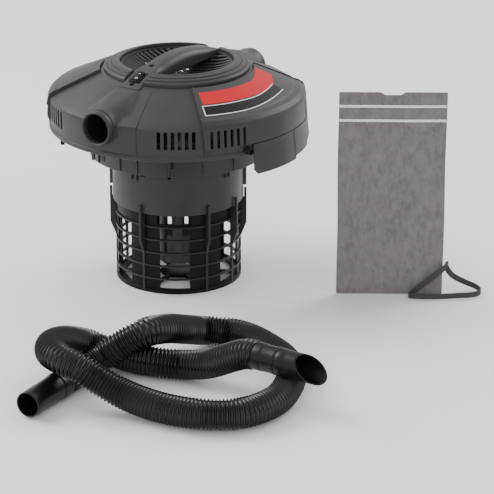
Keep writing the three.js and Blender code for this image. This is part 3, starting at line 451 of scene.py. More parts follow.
def new_material(name):
    """A material with its tree, its shader and its Object coordinates."""
    material = bpy.data.materials.new(name)
    material.use_nodes = True
    tree = material.node_tree
    shader = tree.nodes["Principled BSDF"]
    place = tree.nodes.new("ShaderNodeTexCoord").outputs["Object"]
    return material, tree, shader, place


def lighter(colour, gain):
    """The colour with each channel raised by a factor."""
    return tuple(min(1.0, channel * gain) for channel in colour)


def moulded(
    name, colour, roughness=0.45, grain=900.0, depth=0.00006, wear_and_highlight=0.5, dust=0.25, shine=0.3, ridged=False,
):
    """Moulded plastic or rubber: fine grain, uneven gloss, rubbed edges that also carry a painted edge highlight, and a
    little dust on top.

    On a ridged piece the valleys are painted darker as shade and the crests painted lighter as highlights, read from
    the mesh's crest attribute.
    """
    material, tree, shader, place = new_material(name)
    texture = placed_group(tree, "Moulded Grain", grain_group, place, {"Grain Scale": grain})
    edge_wear_and_highlight = placed_group(tree, "Rubbed And Highlit Edges", rubbed_and_highlit_edges_group, place, {})
    dusty = placed_group(tree, "Settled Dust", dust_group, place, {})
    base = mixed(tree, texture.outputs["Mottle"], lighter(colour, 0.86), lighter(colour, 1.14))
    # Edges lightened by the rubbed-edge mask, for wear and as a painted highlight along them.
    worn_and_highlit = mixed(tree, scaled(tree, edge_wear_and_highlight.outputs["Mask"], 0.0, wear_and_highlight), base, lighter(colour, 2.6))
    dusted_and_ridge_lit = mixed(tree, scaled(tree, dusty.outputs["Mask"], 0.0, dust), worn_and_highlit, lighter(colour, 2.0))
    if ridged:
        # Painted light on ridged pieces: a painted highlight on the crests and painted shade in the valleys.
        crest = tree.nodes.new("ShaderNodeAttribute")
        crest.attribute_name = "crest"
        lit = mixed(tree, scaled(tree, crest.outputs["Fac"], 0.0, 1.0, 0.7, 1.0), dusted_and_ridge_lit, lighter(colour, 8.0))
        dusted_and_ridge_lit = mixed(tree, crest.outputs["Fac"], lighter(colour, 0.2), lit)
    tree.links.new(dusted_and_ridge_lit, shader.inputs["Base Color"])
    gloss = scaled(tree, texture.outputs["Mottle"], roughness - 0.07, roughness + 0.09, 0.3, 0.7)
    tree.links.new(gloss, shader.inputs["Roughness"])
    tree.links.new(bump(tree, texture.outputs["Height"], 0.5, depth), shader.inputs["Normal"])
    shader.inputs["Specular IOR Level"].default_value = shine
    return material


def brushed(name, colour, roughness=0.35, stretch=(8.0, 8.0, 400.0)):
    """Turned or drawn metal with fine lines and dull patches."""
    material, tree, shader, place = new_material(name)
    mapping = tree.nodes.new("ShaderNodeMapping")
    mapping.inputs["Scale"].default_value = stretch
    tree.links.new(place, mapping.inputs["Vector"])
    lines = placed_group(tree, "Moulded Grain", grain_group, mapping.outputs["Vector"], {"Grain Scale": 6.0})
    patches = placed_group(tree, "Moulded Grain", grain_group, place, {"Mottle Scale": 60.0})
    tone = mixed(tree, patches.outputs["Mottle"], lighter(colour, 0.7), lighter(colour, 1.15))
    tree.links.new(tone, shader.inputs["Base Color"])
    gloss = scaled(tree, lines.outputs["Height"], roughness - 0.08, roughness + 0.15)
    tree.links.new(gloss, shader.inputs["Roughness"])
    tree.links.new(bump(tree, lines.outputs["Height"], 0.25, 0.00004), shader.inputs["Normal"])
    shader.inputs["Metallic"].default_value = 1.0
    return material


def felted(name, colour):
    """Pressed filter cloth: short fibres in every direction, with thin and thick patches."""
    material, tree, shader, place = new_material(name)
    fibres = placed_group(
        tree, "Moulded Grain", grain_group, place, {"Grain Scale": 420.0, "Mottle Scale": 55.0},
    )
    warped = tree.nodes.new("ShaderNodeMapping")
    warped.inputs["Rotation"].default_value = (0.3, 0.7, radians(BAG_TURN) + 0.6)
    warped.inputs["Scale"].default_value = (1.0, 1.0, 0.35)
    tree.links.new(place, warped.inputs["Vector"])
    strands = placed_group(tree, "Moulded Grain", grain_group, warped.outputs["Vector"],
                           {"Grain Scale": 1100.0, "Mottle Scale": 190.0})
    thin = mixed(tree, scaled(tree, fibres.outputs["Mottle"], 0.0, 1.0, 0.35, 0.65),
                 lighter(colour, 0.82), lighter(colour, 1.12))
    flecked = mixed(tree, scaled(tree, strands.outputs["Mottle"], 0.0, 0.75, 0.4, 0.68),
                    thin, lighter(colour, 1.32))
    specks = mixed(tree, scaled(tree, strands.outputs["Height"], 0.0, 0.7, 0.5, 0.75),
                   flecked, lighter(colour, 0.66))
    tree.links.new(specks, shader.inputs["Base Color"])
    tree.links.new(scaled(tree, fibres.outputs["Height"], 0.88, 1.0), shader.inputs["Roughness"])
    tree.links.new(bump(tree, strands.outputs["Height"], 0.6, 0.0004), shader.inputs["Normal"])
    shader.inputs["Sheen Weight"].default_value = 0.25
    shader.inputs["Sheen Roughness"].default_value = 0.6
    shader.inputs["Specular IOR Level"].default_value = 0.15
    return material


def ribbed_elastic(name, colour):
    """Woven elastic: fine ridges across the strap, read from the strap's own UV map."""
    material, tree, shader, place = new_material(name)
    along = tree.nodes.new("ShaderNodeUVMap")
    along.uv_map = "strap"
    waves = tree.nodes.new("ShaderNodeTexWave")
    waves.inputs["Scale"].default_value = 150.0
    waves.inputs["Distortion"].default_value = 0.6
    tree.links.new(along.outputs["UV"], waves.inputs["Vector"])
    texture = placed_group(tree, "Moulded Grain", grain_group, place, {"Grain Scale": 700.0})
    tone = mixed(tree, waves.outputs["Fac"], lighter(colour, 0.7), lighter(colour, 1.35))
    tree.links.new(tone, shader.inputs["Base Color"])
    tree.links.new(scaled(tree, texture.outputs["Mottle"], 0.65, 0.9), shader.inputs["Roughness"])
    tree.links.new(bump(tree, waves.outputs["Fac"], 0.5, 0.0003), shader.inputs["Normal"])
    return material


def printed(name, colour, roughness=0.45, shine=0.2):
    """Printed film: an even colour with slight mottle and a soft gloss."""
    material, tree, shader, place = new_material(name)
    texture = placed_group(
        tree, "Moulded Grain", grain_group, place, {"Grain Scale": 1400.0, "Mottle Scale": 26.0},
    )
    tone = mixed(tree, texture.outputs["Mottle"], lighter(colour, 0.9), lighter(colour, 1.08))
    tree.links.new(tone, shader.inputs["Base Color"])
    tree.links.new(scaled(tree, texture.outputs["Mottle"], roughness - 0.05, roughness + 0.08),
                   shader.inputs["Roughness"])
    tree.links.new(bump(tree, texture.outputs["Height"], 0.2, 0.00003), shader.inputs["Normal"])
    shader.inputs["Specular IOR Level"].default_value = shine
    return material


FINISHES = {}


def finish(name):
    """One of the vacuum's finishes, made the first time it is asked for."""
    if name not in FINISHES:
        tones = bpy.context.scene.vacuum_tones
        makers = {
            "charcoal": lambda: moulded("Charcoal Plastic", tones.charcoal, 0.42),
            "black": lambda: moulded("Black Plastic", tones.black, 0.4, wear_and_highlight=0.8, dust=0.1, shine=0.12),
            # A lighter copy of the black, for the cage's ribs and fins, as their painted highlight.
            "highlit_black": lambda: moulded(
                "Highlit Black Plastic", lighter(tones.black, 3.4), 0.34, wear_and_highlight=0.8, dust=0.1, shine=0.25),
            "grey": lambda: moulded("Grey Plastic", tones.grey, 0.5),
            "hose": lambda: moulded(
                "Hose Plastic", tones.hose, 0.26, grain=1500.0, wear_and_highlight=0.3, dust=0.1, shine=0.35, ridged=True),
            "cuff": lambda: moulded("Cuff Plastic", tones.hose, 0.34, wear_and_highlight=0.3, dust=0.1),
            "rubber": lambda: moulded("Rubber", lighter(tones.black, 0.7), 0.7, grain=500.0, wear_and_highlight=0.2),
            "foam": lambda: moulded(
                "Seal Foam", lighter(tones.black, 0.9), 0.9, grain=350.0, depth=0.0006, wear_and_highlight=0.1),
            "steel": lambda: brushed("Steel", (0.42, 0.42, 0.43)),
            "dark_steel": lambda: brushed("Blackened Steel", (0.06, 0.06, 0.065), 0.45),
            "aluminium": lambda: brushed("Aluminium", (0.6, 0.6, 0.61), 0.4, (60.0, 60.0, 60.0)),
            "copper": lambda: brushed("Copper Windings", (0.55, 0.23, 0.11), 0.35, (300.0, 300.0, 300.0)),
            "carbon": lambda: moulded("Carbon", (0.015, 0.015, 0.016), 0.6, wear_and_highlight=0.2),
            "cloth": lambda: felted("Filter Cloth", tones.cloth),
            "elastic": lambda: ribbed_elastic("Woven Elastic", tones.elastic),
            "red": lambda: printed("Red Print", tones.label),
            "dark_print": lambda: printed("Dark Print", lighter(tones.black, 0.9)),
            "white_print": lambda: printed("White Print", (0.78, 0.78, 0.78), 0.4),
        }
        FINISHES[name] = makers[name]()
    return FINISHES[name]


# ---- stage ---------------------------------------------------------------------------------------
def make_stage(sizes):
    """Camera, pale floor and soft studio light."""
    scene = bpy.context.scene
    camera_data = bpy.data.cameras.new("camera")
    camera_data.lens = sizes.lens
    camera_data.sensor_width = 36.0
    camera_data.clip_end = 30.0
    camera = bpy.data.objects.new("camera", camera_data)
    camera.location = sizes.camera_place
    aim = Vector((-0.52378, 0.77654, -0.35021))
    camera.rotation_euler = aim.to_track_quat("-Z", "Y").to_euler()
    scene.collection.objects.link(camera)
    scene.camera = camera

    floor_mesh = bpy.data.meshes.new("floor")
    bm = bmesh.new()
    bmesh.ops.create_grid(bm, x_segments=1, y_segments=1, size=12.0)
    bm.to_mesh(floor_mesh)
    bm.free()
    floor = bpy.data.objects.new("floor", floor_mesh)
    floor.location.z = -0.0004
    scene.collection.objects.link(floor)
    material, tree, shader, place = new_material("Pale Floor")
    texture = placed_group(tree, "Moulded Grain", grain_group, place, {"Mottle Scale": 1.5})
    tone = mixed(tree, texture.outputs["Mottle"], (0.91, 0.91, 0.91), (0.94, 0.94, 0.94))
    tree.links.new(tone, shader.inputs["Base Color"])
    shader.inputs["Roughness"].default_value = 0.6
    floor_mesh.materials.append(material)

    world = bpy.data.worlds.new("studio")
    world.use_nodes = True
    world.node_tree.nodes["Background"].inputs["Color"].default_value = (1.0, 1.0, 1.0, 1.0)
    world.node_tree.nodes["Background"].inputs["Strength"].default_value = sizes.world_strength
    scene.world = world

    middle = Vector((0.14, -0.1, 0.15))
    panels = (
        ("key", (-1.9, -0.5, 1.9), 1.5, sizes.key_power),
        ("fill", (1.6, -2.6, 1.1), 1.6, sizes.key_power * 0.25),
        ("back", (0.9, 2.4, 1.8), 1.6, sizes.key_power * 0.7),
    )
    for name, place, size, power in panels:
        light_data = bpy.data.lights.new(name, "AREA")
        light_data.shape = "SQUARE"
        light_data.size = size
        light_data.energy = power
        light = bpy.data.objects.new(name, light_data)
        light.location = place
        light.rotation_euler = (middle - Vector(place)).to_track_quat("-Z", "Y").to_euler()
        scene.collection.objects.link(light)


# ---- hose ----------------------------------------------------------------------------------------
def catmull_rom(points, closed=False, steps=14):
    """Points along the centripetal Catmull-Rom curve through the given ones."""
    knots = [Vector(point) for point in points]
    if closed:
        knots = [knots[-1], *knots, knots[0], knots[1]]
    else:
        knots = [2 * knots[0] - knots[1], *knots, 2 * knots[-1] - knots[-2]]
    line = []
    for before, start, end, after in zip(knots, knots[1:], knots[2:], knots[3:]):
        spans = [max((b - a).length ** 0.5, 1e-6) for a, b in ((before, start), (start, end), (end, after))]
        leave = ((start - before) / spans[0] - (end - before) / (spans[0] + spans[1])
                 + (end - start) / spans[1]) * spans[1]
        arrive = ((end - start) / spans[1] - (after - start) / (spans[1] + spans[2])
                  + (after - end) / spans[2]) * spans[1]
        for step in range(steps):
            t = step / steps
            line.append(
                start * (2 * t**3 - 3 * t**2 + 1) + end * (3 * t**2 - 2 * t**3)
                + leave * (t**3 - 2 * t**2 + t) + arrive * (t**3 - t**2)
            )
    if not closed:
        line.append(knots[-2])
    return line


def lengths_along(line, closed=False):
    """The distance from the start of a line to each of its points, and round to the start if closed."""
    reach = [0.0]
    pairs = zip(line, line[1:] + ([line[0]] if closed else []))
    for a, b in pairs:
        reach.append(reach[-1] + (b - a).length)
    return reach


def place_on(line, reach, distance, closed=False):
    """The point and direction at a distance along a line."""
    total = reach[-1]
    distance = distance % total if closed else max(0.0, min(total, distance))
    i = min(bisect_right(reach, distance) - 1, len(reach) - 2)
    a, b = line[i], line[(i + 1) % len(line)]
    part = (distance - reach[i]) / max(reach[i + 1] - reach[i], 1e-9)
    before = line[i - 1] if i or closed else a
    after = line[(i + 2) % len(line)] if closed else line[min(i + 2, len(line) - 1)]
    direction = ((b - before).lerp(after - a, part)).normalized()
    return a.lerp(b, part), direction


def make_hose(sizes):
    """The corrugated hose: a wavy tube turned straight, then laid along its route."""
    line = [point / MM for point in catmull_rom(HOSE_ROUTE)]
    reach = lengths_along(line)
    total = reach[-1]
    pitch = sizes.pitch / MM
    count = round(total / pitch)
    pitch = total / count
    crest = HOSE_RADIUS - 0.2
    root = crest - sizes.ridge_height / MM
    section = []
    for ridge in range(count):
        foot = ridge * pitch
        section += [(root, foot), (crest - 0.5, foot + 0.16 * pitch), (crest, foot + 0.25 * pitch),
                    (crest - 0.5, foot + 0.34 * pitch), (root, foot + 0.5 * pitch)]
    section = [(crest - 5.0, 0.0), *section, (root, total), (crest - 5.0, total)]
    bm = bmesh.new()
    turned(bm, section, steps=sizes.sides, closed=False)
    tidy(bm)
    up = Vector((0, 0, 1))
    frames = {}
    # The crest layer runs from 0 in the valleys to 1 on the crests; the hose material paints highlights on the crests
    # and shade in the valleys from it.
    height = bm.verts.layers.float.new("crest")
    for vert in bm.verts:
        vert[height] = max(0.0, (hypot(vert.co.x, vert.co.y) - root) / (crest - root))
        key = round(vert.co.z, 3)
        if key not in frames:
            centre, direction = place_on(line, reach, vert.co.z)
            side = direction.cross(up).normalized()
            frames[key] = (centre, side, side.cross(direction))
        centre, side, top = frames[key]
        vert.co = centre + side * vert.co.x + top * vert.co.y
    hose = finished("hose_tube", bm, finish("hose"), "hose", ("hose",), smooth=75.0)


def make_head_cuff():
    """The plain cuff on the hose's head end, with a shoulder behind its mouth."""
    start, second = (Vector(point) / MM for point in HOSE_ROUTE[:2])
    away = (start - second).to_2d().to_3d().normalized()
    length = 84.0
    outside = [(CUFF_RADIUS - 1.0, 0.4), (CUFF_RADIUS, 1.6), (CUFF_RADIUS, 20.0), (CUFF_RADIUS - 0.9, 22.5),
               (CUFF_RADIUS - 1.3, length - 12.0), (CUFF_RADIUS - 1.5, length)]
    bore = CUFF_RADIUS - CUFF_WALL
    inside = [(bore - 1.2, length), (bore - 1.0, 6.0), (0.0, 6.0), (0.0, 0.4)]
    bm = bmesh.new()
    turned(bm, rounded(outside + inside, 0.8), steps=64)
    turn = Vector((0, 0, 1)).rotation_difference(away).to_matrix().to_4x4()
    place = Vector((start.x, start.y, CUFF_RADIUS + 0.4))
    bmesh.ops.transform(bm, matrix=Matrix.Translation(place) @ turn, verts=bm.verts)
    finished("head_cuff", bm, finish("cuff"), "hose", ("hose_cuff",))


def along_x(x, y, z):
    """The matrix that lays a shape turned about Z along +X from a place."""
    return Matrix.Translation((x, y, z)) @ Matrix.Rotation(radians(90), 4, "Y")


def make_tool_end():
    """The cuff on the tool end, and the slant-cut nozzle that turns on its spigot."""
    start = Vector(HOSE_ROUTE[-1]) / MM
    shoulder = 36.0
    spigot = CUFF_RADIUS - CUFF_WALL
    bm = bmesh.new()
    outline = [(0.0, 1.5), (CUFF_RADIUS, 1.5), (CUFF_RADIUS, 12.0), (CUFF_RADIUS - 0.7, 14.0),
               (CUFF_RADIUS - 0.7, 30.0), (CUFF_RADIUS, 31.0), (CUFF_RADIUS, shoulder), (spigot, shoulder),
               (spigot, shoulder + 18.0), (spigot - CUFF_WALL, shoulder + 18.0), (spigot - CUFF_WALL, 8.0), (0.0, 8.0)]
    turned(bm, rounded(outline, 0.6), steps=64)
    bmesh.ops.transform(bm, matrix=along_x(*start), verts=bm.verts)
    finished("tool_end_cuff", bm, finish("cuff"), "hose", ("tool_cuff",))

    length, slant, gap = 66.0, 38.0, 0.4
    bore = spigot + gap
    bm = bmesh.new()
    tube = [(bore, 0.0), (CUFF_RADIUS - 0.3, 0.0), (CUFF_RADIUS, 0.8), (CUFF_RADIUS, 9.0), (CUFF_RADIUS - 0.5, 10.5),
            (CUFF_RADIUS - 0.5, length), (bore, length)]
    turned(bm, tube, steps=96)
    tall = [edge for edge in bm.edges if abs(edge.verts[0].co.z - edge.verts[1].co.z) > 20]
    bmesh.ops.subdivide_edges(bm, edges=tall, cuts=12)
    bmesh.ops.transform(bm, matrix=along_x(start.x + shoulder + gap, start.y, start.z), verts=bm.verts)
    roll = radians(30)
    across = Vector((2 * CUFF_RADIUS, 0, slant - 3.0)).normalized()
    normal = Vector((across.x, -across.z * sin(roll), across.z * cos(roll)))
    tip = Vector((start.x + shoulder + gap + length - 3.0, start.y, start.z))
    tip += Vector((0, CUFF_RADIUS * sin(roll), -CUFF_RADIUS * cos(roll)))
    cut = bmesh.ops.bisect_plane(
        bm, geom=bm.verts[:] + bm.edges[:] + bm.faces[:], plane_co=tip, plane_no=normal, clear_outer=True,
        dist=0.0001,
    )["geom_cut"]
    bmesh.ops.bridge_loops(bm, edges=[item for item in cut if isinstance(item, bmesh.types.BMEdge)])
    finished("slant_nozzle", bm, finish("cuff"), "nozzle", ("nozzle",), smooth=50.0)


# ---- head ----------------------------------------------------------------------------------------
def shell_section():
    """The housing's wall: dome, shoulder, skirt and rolled foot outside, and the hollow inside."""
    foot = SKIRT_FOOT
    return rounded([
        (COLLAR_RADIUS - 4, 304.9), (COLLAR_RADIUS - 4, 308.6), (COLLAR_RADIUS + 1, 308.0), DOME_FOOT,
        (179.0, 272.6), (SKIRT_RADIUS, 270.0), (SKIRT_RADIUS, foot + 7.5), (SKIRT_RADIUS + 1.5, foot + 5.5),
        (SKIRT_RADIUS + 1.5, foot + 1.2), (SKIRT_RADIUS + 0.5, foot), (177.0, foot), (177.0, 266.5),
        (166.0, 273.5), (COLLAR_RADIUS - 1, 301.5),
    ], 0.9)


def panel_outline(proud=0.0):
    """A side panel's outer line, from the collar down to the skirt, further out by `proud`."""
    return [(108.0, 309.8 + proud), (163.5, 285.6 + proud), (167.0, 283.4 + proud), (174.5, 281.0 + proud),
            (180.2 + proud, 276.0 + proud), (182.2 + proud, 271.5), (PANEL_RADIUS + proud, PANEL_FOOT + 0.4)]


def panel_height(radius):
    """The height of a side panel's conical part."""
    return 309.8 - (radius - 108.0) * (309.8 - 285.6) / (163.5 - 108.0)


def panel_solid(bm, start, sweep, proud=0.0, foot=PANEL_FOOT):
    """One side panel's solid between two bearings."""
    line = panel_outline(proud)
    line[-1] = (line[-1][0], foot + 0.4)
    inner = [(178.4, foot + 0.4), (178.4, 267.0), (165.0, 276.0), (108.0, 302.5)]
    turned(bm, rounded(line + inner, 1.2), steps=max(2, ceil(sweep)), start=start, sweep=sweep)


def hump_solid(bm, side):
    """The hump from a port to the handle's foot: round at the port, boxy above, flared into the dome."""
    near, far = PORT_MOUTH - 9.6, HANDLE_REACH - 12.0
    rings = []
    for step in range(15):
        along = step / 14
        reach = near + (far - near) * along
        wide = PORT_RADIUS + 0.6 + (HANDLE_HALF + 1.6 - PORT_RADIUS) * smooth_step(1.2 * along)
        crest = PORT_Z + 25.2 + (HANDLE_CREST - 26.4 - PORT_Z - 25.2) * smooth_step(1.1 * along)
        dome = DOME_FOOT[1] + (DOME_FOOT[0] - reach) * DOME_RISE - 1.5
        base = PORT_Z + (dome - PORT_Z) * smooth_step(2.5 * along)
        power = 1.0 - 0.5 * smooth_step(1.6 * along)
        flare = 13.0 * smooth_step(3.0 * along) * (1 - 0.7 * smooth_step(1.3 * along - 0.3))
        foot = 258.0 if reach > 150 else 270.0
        ring = [Vector((wide + flare + 2.0, -reach, foot))]
        for i in range(25):
            turn = pi * i / 24
            rise = sin(turn) ** power
            across = wide * abs(cos(turn)) ** power + flare * (1 - rise) ** 2.5
            ring.append(Vector((across * (1 if i <= 12 else -1), -reach, base + (crest - base) * rise)))
        ring.append(Vector((-wide - flare - 2.0, -reach, foot)))
        rings.append(ring)
    verts = lofted(bm, rings)
    bmesh.ops.transform(bm, matrix=bearing_turn(0 if side < 0 else 180), verts=verts)


def boss_solid(bm, side):
    """The round boss that a port's collar stands on."""
    radius, mouth = PORT_RADIUS + 0.8, PORT_MOUTH - 9.3
    outline = rounded([(0, 150.0), (radius, 150.0), (radius, mouth), (0, mouth)], 1.0)
    before = set(bm.verts)
    turned(bm, [(r, z) for r, z in outline], steps=72)
    fresh = [vert for vert in bm.verts if vert not in before]
    bmesh.ops.transform(bm, matrix=outwards(side), verts=fresh)


def pad_solid(bm, start):
    """The slightly raised sector of skirt and dome around a port."""
    lift = 0.8
    line = [(112.0, 304.2 + lift), (DOME_FOOT[0], DOME_FOOT[1] + lift), (179.0 + lift, 272.9 + lift),
            (SKIRT_RADIUS + lift, 270.0), (SKIRT_RADIUS + lift, SKIRT_FOOT + 8.5),
            (178.5, SKIRT_FOOT + 8.5), (178.5, 268.0), (166.5, 275.5), (112.0, 301.5)]
    turned(bm, rounded(line, 0.5), steps=24, start=start, sweep=35.0)


def vent_tools(bm, first, round_ends):
    """Six upright slots in each of the four mirrored places."""
    for i in range(6):
        angle = first + i * 3.03
        for turn in (angle, 180 - angle, 180 + angle, 360 - angle):
            made = bmesh.ops.create_cube(bm, size=1.0)["verts"]
            width = 5.0 if not round_ends else 4.2
            bmesh.ops.scale(bm, vec=(width, 16.0, 25.0), verts=made)
            radial = [e for e in {edge for v in made for edge in v.link_edges}
                      if abs(e.verts[0].co.y - e.verts[1].co.y) > 10]
            bevelled = bmesh.ops.bevel(bm, geom=radial, offset=2.0 if round_ends else 0.5, segments=4, profile=0.5,
                                       affect="EDGES", material=-1)
            verts = list({v for f in bevelled["faces"] for v in f.verts} | {v for v in made if v.is_valid})
            place = bearing_turn(turn) @ Matrix.Translation((0, -SKIRT_RADIUS - 1, 256.6))
            bmesh.ops.transform(bm, matrix=place, verts=verts)


def make_upper_housing(sizes):
    """The domed shell with side panels, port humps, bosses and vents, as one moulding."""
    shell, added, taken = bmesh.new(), bmesh.new(), bmesh.new()
    turned(shell, shell_section(), steps=180)
    for opposite in (0, 180):
        panel_solid(added, opposite + PANEL_FROM, PANEL_TO - PANEL_FROM)
        for start in (PANEL_FROM - 0.6, PANEL_TO - 0.1):
            panel_solid(added, opposite + start, 0.7, sizes.ridge_proud / MM, 262.0)
        for start in (PANEL_FROM + 0.3, PANEL_TO - 20.3):
            apron = [(178.8, PANEL_FOOT + 2), (178.8, 236), (180.2, 235), (PANEL_RADIUS - 0.2, PANEL_FOOT + 2)]
            turned(added, apron, steps=20, start=opposite + start, sweep=20.0)
    for side, start in ((-1, -17.5), (1, 162.5)):
        pad_solid(added, start)
        hump_solid(added, side)
        boss_solid(added, side)
        before = set(taken.verts)
        turned(taken, [(0, 100.0), (PORT_BORE + 1.9, 100.0), (PORT_BORE + 1.9, 220.0), (0, 220.0)], steps=72)
        bmesh.ops.transform(taken, matrix=outwards(side), verts=[v for v in taken.verts if v not in before])
    box(taken, (2 * HANDLE_HALF + 0.3, 2 * HANDLE_REACH + 0.4, 60.0), (0, 0, HANDLE_FOOT + 29.8))
    vent_tools(taken, 27.4, False)
    vent_tools(taken, 50.3, True)
    shell = carved(carved(shell, added, "UNION"), taken)
    housing = finished("upper_housing_shell", shell, finish("charcoal"), "head", ("upper_housing",),
                       smooth=28.0)
    round_normals(housing, sizes.edge_round / MM, angle=42.0)


def decal(name, first, last, inner, outer, finish_name, lift=0.25, steps=72):
    """A thin printed band on the side panel between two bearings and two radii that change along it."""
    bm = bmesh.new()
    made = bmesh.ops.create_grid(bm, x_segments=steps, y_segments=6, size=1.0)["verts"]
    for vert in made:
        angle = first + (last - first) * (vert.co.x + 1) / 2
        near, far = inner(angle), outer(angle)
        radius = near + (far - near) * (vert.co.y + 1) / 2
        vert.co = bearing(radius, angle, panel_height(radius) + lift)
    faces = bm.faces[:]
    bmesh.ops.recalc_face_normals(bm, faces=faces)
    raised = bmesh.ops.extrude_face_region(bm, geom=faces)["geom"]
    verts = [item for item in raised if isinstance(item, bmesh.types.BMVert)]
    bmesh.ops.translate(bm, vec=(0, 0, -lift - 0.3), verts=verts)
    return finished(name, bm, finish(finish_name), "head")


def make_side_print():
    """A plain red band and a dark band between two thin white lines on the right side panel."""
    def red_inner(angle):
        return 119.0 - 9.0 * smooth_step((angle - 92) / 28)

    def red_outer(angle):
        return 142.2 - 10.0 * smooth_step((angle - 102) / 22)

    def line_inner(angle):
        return 145.2 - 5.0 * smooth_step((angle - 80) / 30)

    def line_outer(angle):
        return 163.2 - 8.0 * smooth_step((angle - 66) / 42)

    decal("red_band", 49.8, 121.5, red_inner, red_outer, "red")
    decal("dark_band", 49.0, 107.0, line_inner, line_outer, "dark_print", 0.2)
    width = 1.1
    decal("upper_line", 49.0, 107.0, lambda a: line_inner(a) - width / 2, lambda a: line_inner(a) + width / 2,
          "white_print", 0.32)
    decal("lower_line", 49.0, 107.0, lambda a: line_outer(a) - width / 2, lambda a: line_outer(a) + width / 2,
          "white_print", 0.32)
    decal("end_line", 49.0, 49.5, line_inner, line_outer, "white_print", 0.34, 2)


def make_port_collars():
    """The short ring round each port, with a thin rounded lip and a deep bore."""
    for name, node, side in (("inlet_ring", "inlet_collar", -1), ("exhaust_ring", "exhaust_collar", 1)):
        back, front = PORT_MOUTH - 9.0, PORT_MOUTH
        outline = [(PORT_RADIUS, back), (PORT_RADIUS - 0.6, front - 2.5), (PORT_RADIUS - 1.8, front),
                   (PORT_BORE + 1.4, front), (PORT_BORE, front - 1.6), (PORT_BORE, back)]
        bm = bmesh.new()
        turned(bm, rounded(outline, 0.8), steps=96)
        bmesh.ops.transform(bm, matrix=outwards(side), verts=bm.verts)
        finished(name, bm, finish("charcoal"), "head", (node,))


def make_ducts():
    """The elbows behind the ports: a round pipe inwards and a flat box that turns the air."""
    for name, node, side in (("inlet_elbow", "inlet_duct", -1), ("exhaust_elbow", "exhaust_duct", 1)):
        lowest, highest = low(node), high(node)
        near, far = (-highest.y, -lowest.y) if side < 0 else (lowest.y, highest.y)
        bend = near + 20.0
        bm = bmesh.new()
        radius = PORT_BORE + 1.5
        turned(bm, [(PORT_BORE, bend), (radius, bend), (radius, far), (PORT_BORE, far)], steps=72)
        bmesh.ops.transform(bm, matrix=outwards(side), verts=bm.verts)
        body = bmesh.new()
        box(body, (54.0, bend - near, highest.z - lowest.z),
            (0, -(near + bend) / 2 * (1 if side < 0 else -1), (highest.z + lowest.z) / 2), round_edges=2.0)
        mouth = bmesh.new()
        turned(mouth, [(0, near + 4), (PORT_BORE, near + 4), (PORT_BORE, far + 5), (0, far + 5)], steps=72)
        bmesh.ops.transform(mouth, matrix=outwards(side), verts=mouth.verts)
        body = carved(body, mouth)
        body = carved(body, bm, "UNION")
        finished(name, body, finish("rubber"), "head", (node,))


def make_grille_collar():
    """The stepped ring round the grille, notched for the handle."""
    top, foot = RIM_TOP, low("grille_collar").z
    outline = [
        (RIM_RADIUS, foot), (RIM_RADIUS + 3, foot), (RIM_RADIUS + 8, foot + 10.0),
        (COLLAR_RADIUS, foot + 10.0), (COLLAR_RADIUS, top - 8.2), (COLLAR_RADIUS - 3.4, top - 6.0),
        (COLLAR_RADIUS - 4.2, top - 6.6), (COLLAR_RADIUS - 5.6, top - 6.6), (COLLAR_RADIUS - 6.0, top - 4.6),
        (COLLAR_RADIUS - 10.0, top - 3.2), (COLLAR_RADIUS - 10.8, top - 3.9), (COLLAR_RADIUS - 12.2, top - 3.9),
        (COLLAR_RADIUS - 12.6, top - 1.9), (RIM_RADIUS + 4.6, top - 0.9), (RIM_RADIUS + 3.6, top),
        (RIM_RADIUS + 0.8, top), (RIM_RADIUS, top - 1.0),
    ]
    bm = bmesh.new()
    turned(bm, rounded(outline, 0.5), steps=180)
    seat = bmesh.new()
    box(seat, (2 * HANDLE_HALF + 0.3, 2 * HANDLE_REACH + 0.4, 60.0), (0, 0, HANDLE_FOOT + 29.8))
    ring = carved(bm, seat)
    finished("grille_ring", ring, finish("charcoal"), "head", ("grille_collar",), smooth=30.0)


def make_grille(sizes):
    """The dished intake grille: a rim, a spine under the handle and tilted round-topped slats."""
    bm = bmesh.new()
    rim_inner, rim_outer = RIM_RADIUS - 4, RIM_RADIUS - 0.2
    thick = 4.0
    turned(bm, rounded([(rim_inner, GRILLE_TOP - thick), (rim_outer, GRILLE_TOP - thick), (rim_outer, GRILLE_TOP),
                        (rim_inner, GRILLE_TOP)], 0.6), steps=128)

    def middle(x, y):
        return GRILLE_TOP - thick / 2 - GRILLE_DISH * (1 - min(1.0, (x * x + y * y) / rim_inner ** 2))

    pitch = sizes.slat_pitch / MM
    count = int(rim_inner / pitch)
    wide = sizes.slat_width / MM
    tilt = Matrix.Rotation(radians(24), 3, "X")
    slat = [tilt @ Vector((0, y, z)) for y, z in
            rounded([(-wide / 2, -0.95), (wide / 2, -0.95), (wide / 2, 0.95), (-wide / 2, 0.95)], 0.7)]
    for i in range(-count, count + 1):
        y = i * pitch
        half = sqrt(max(0.0, (rim_inner + 1.5) ** 2 - y * y))
        if half < HANDLE_HALF + 2:
            continue
        spans = [(-half, half)]
        if abs(y) > HANDLE_REACH - FOOT_LENGTH - 2:
            spans = [(-half, -HANDLE_HALF + 1), (HANDLE_HALF - 1, half)]
        for first, last in spans:
            stations = [first + (last - first) * step / 20 for step in range(21)]
            lofted(bm, [[Vector((x, y, middle(x, y))) + point for point in slat] for x in stations])
    spine = [Vector((x, 0, z)) for x, z in rounded([(-2.5, -1.8), (2.5, -1.8), (2.5, 1.5), (-2.5, 1.5)], 0.6)]
    reach = HANDLE_REACH - FOOT_LENGTH
    stations = [reach * (step / 16 - 1) for step in range(33)]
    lofted(bm, [[Vector((0, y, middle(0, y))) + point for point in spine] for y in stations])
    finished("louvred_grille", bm, finish("charcoal"), "head", ("intake_grille",))


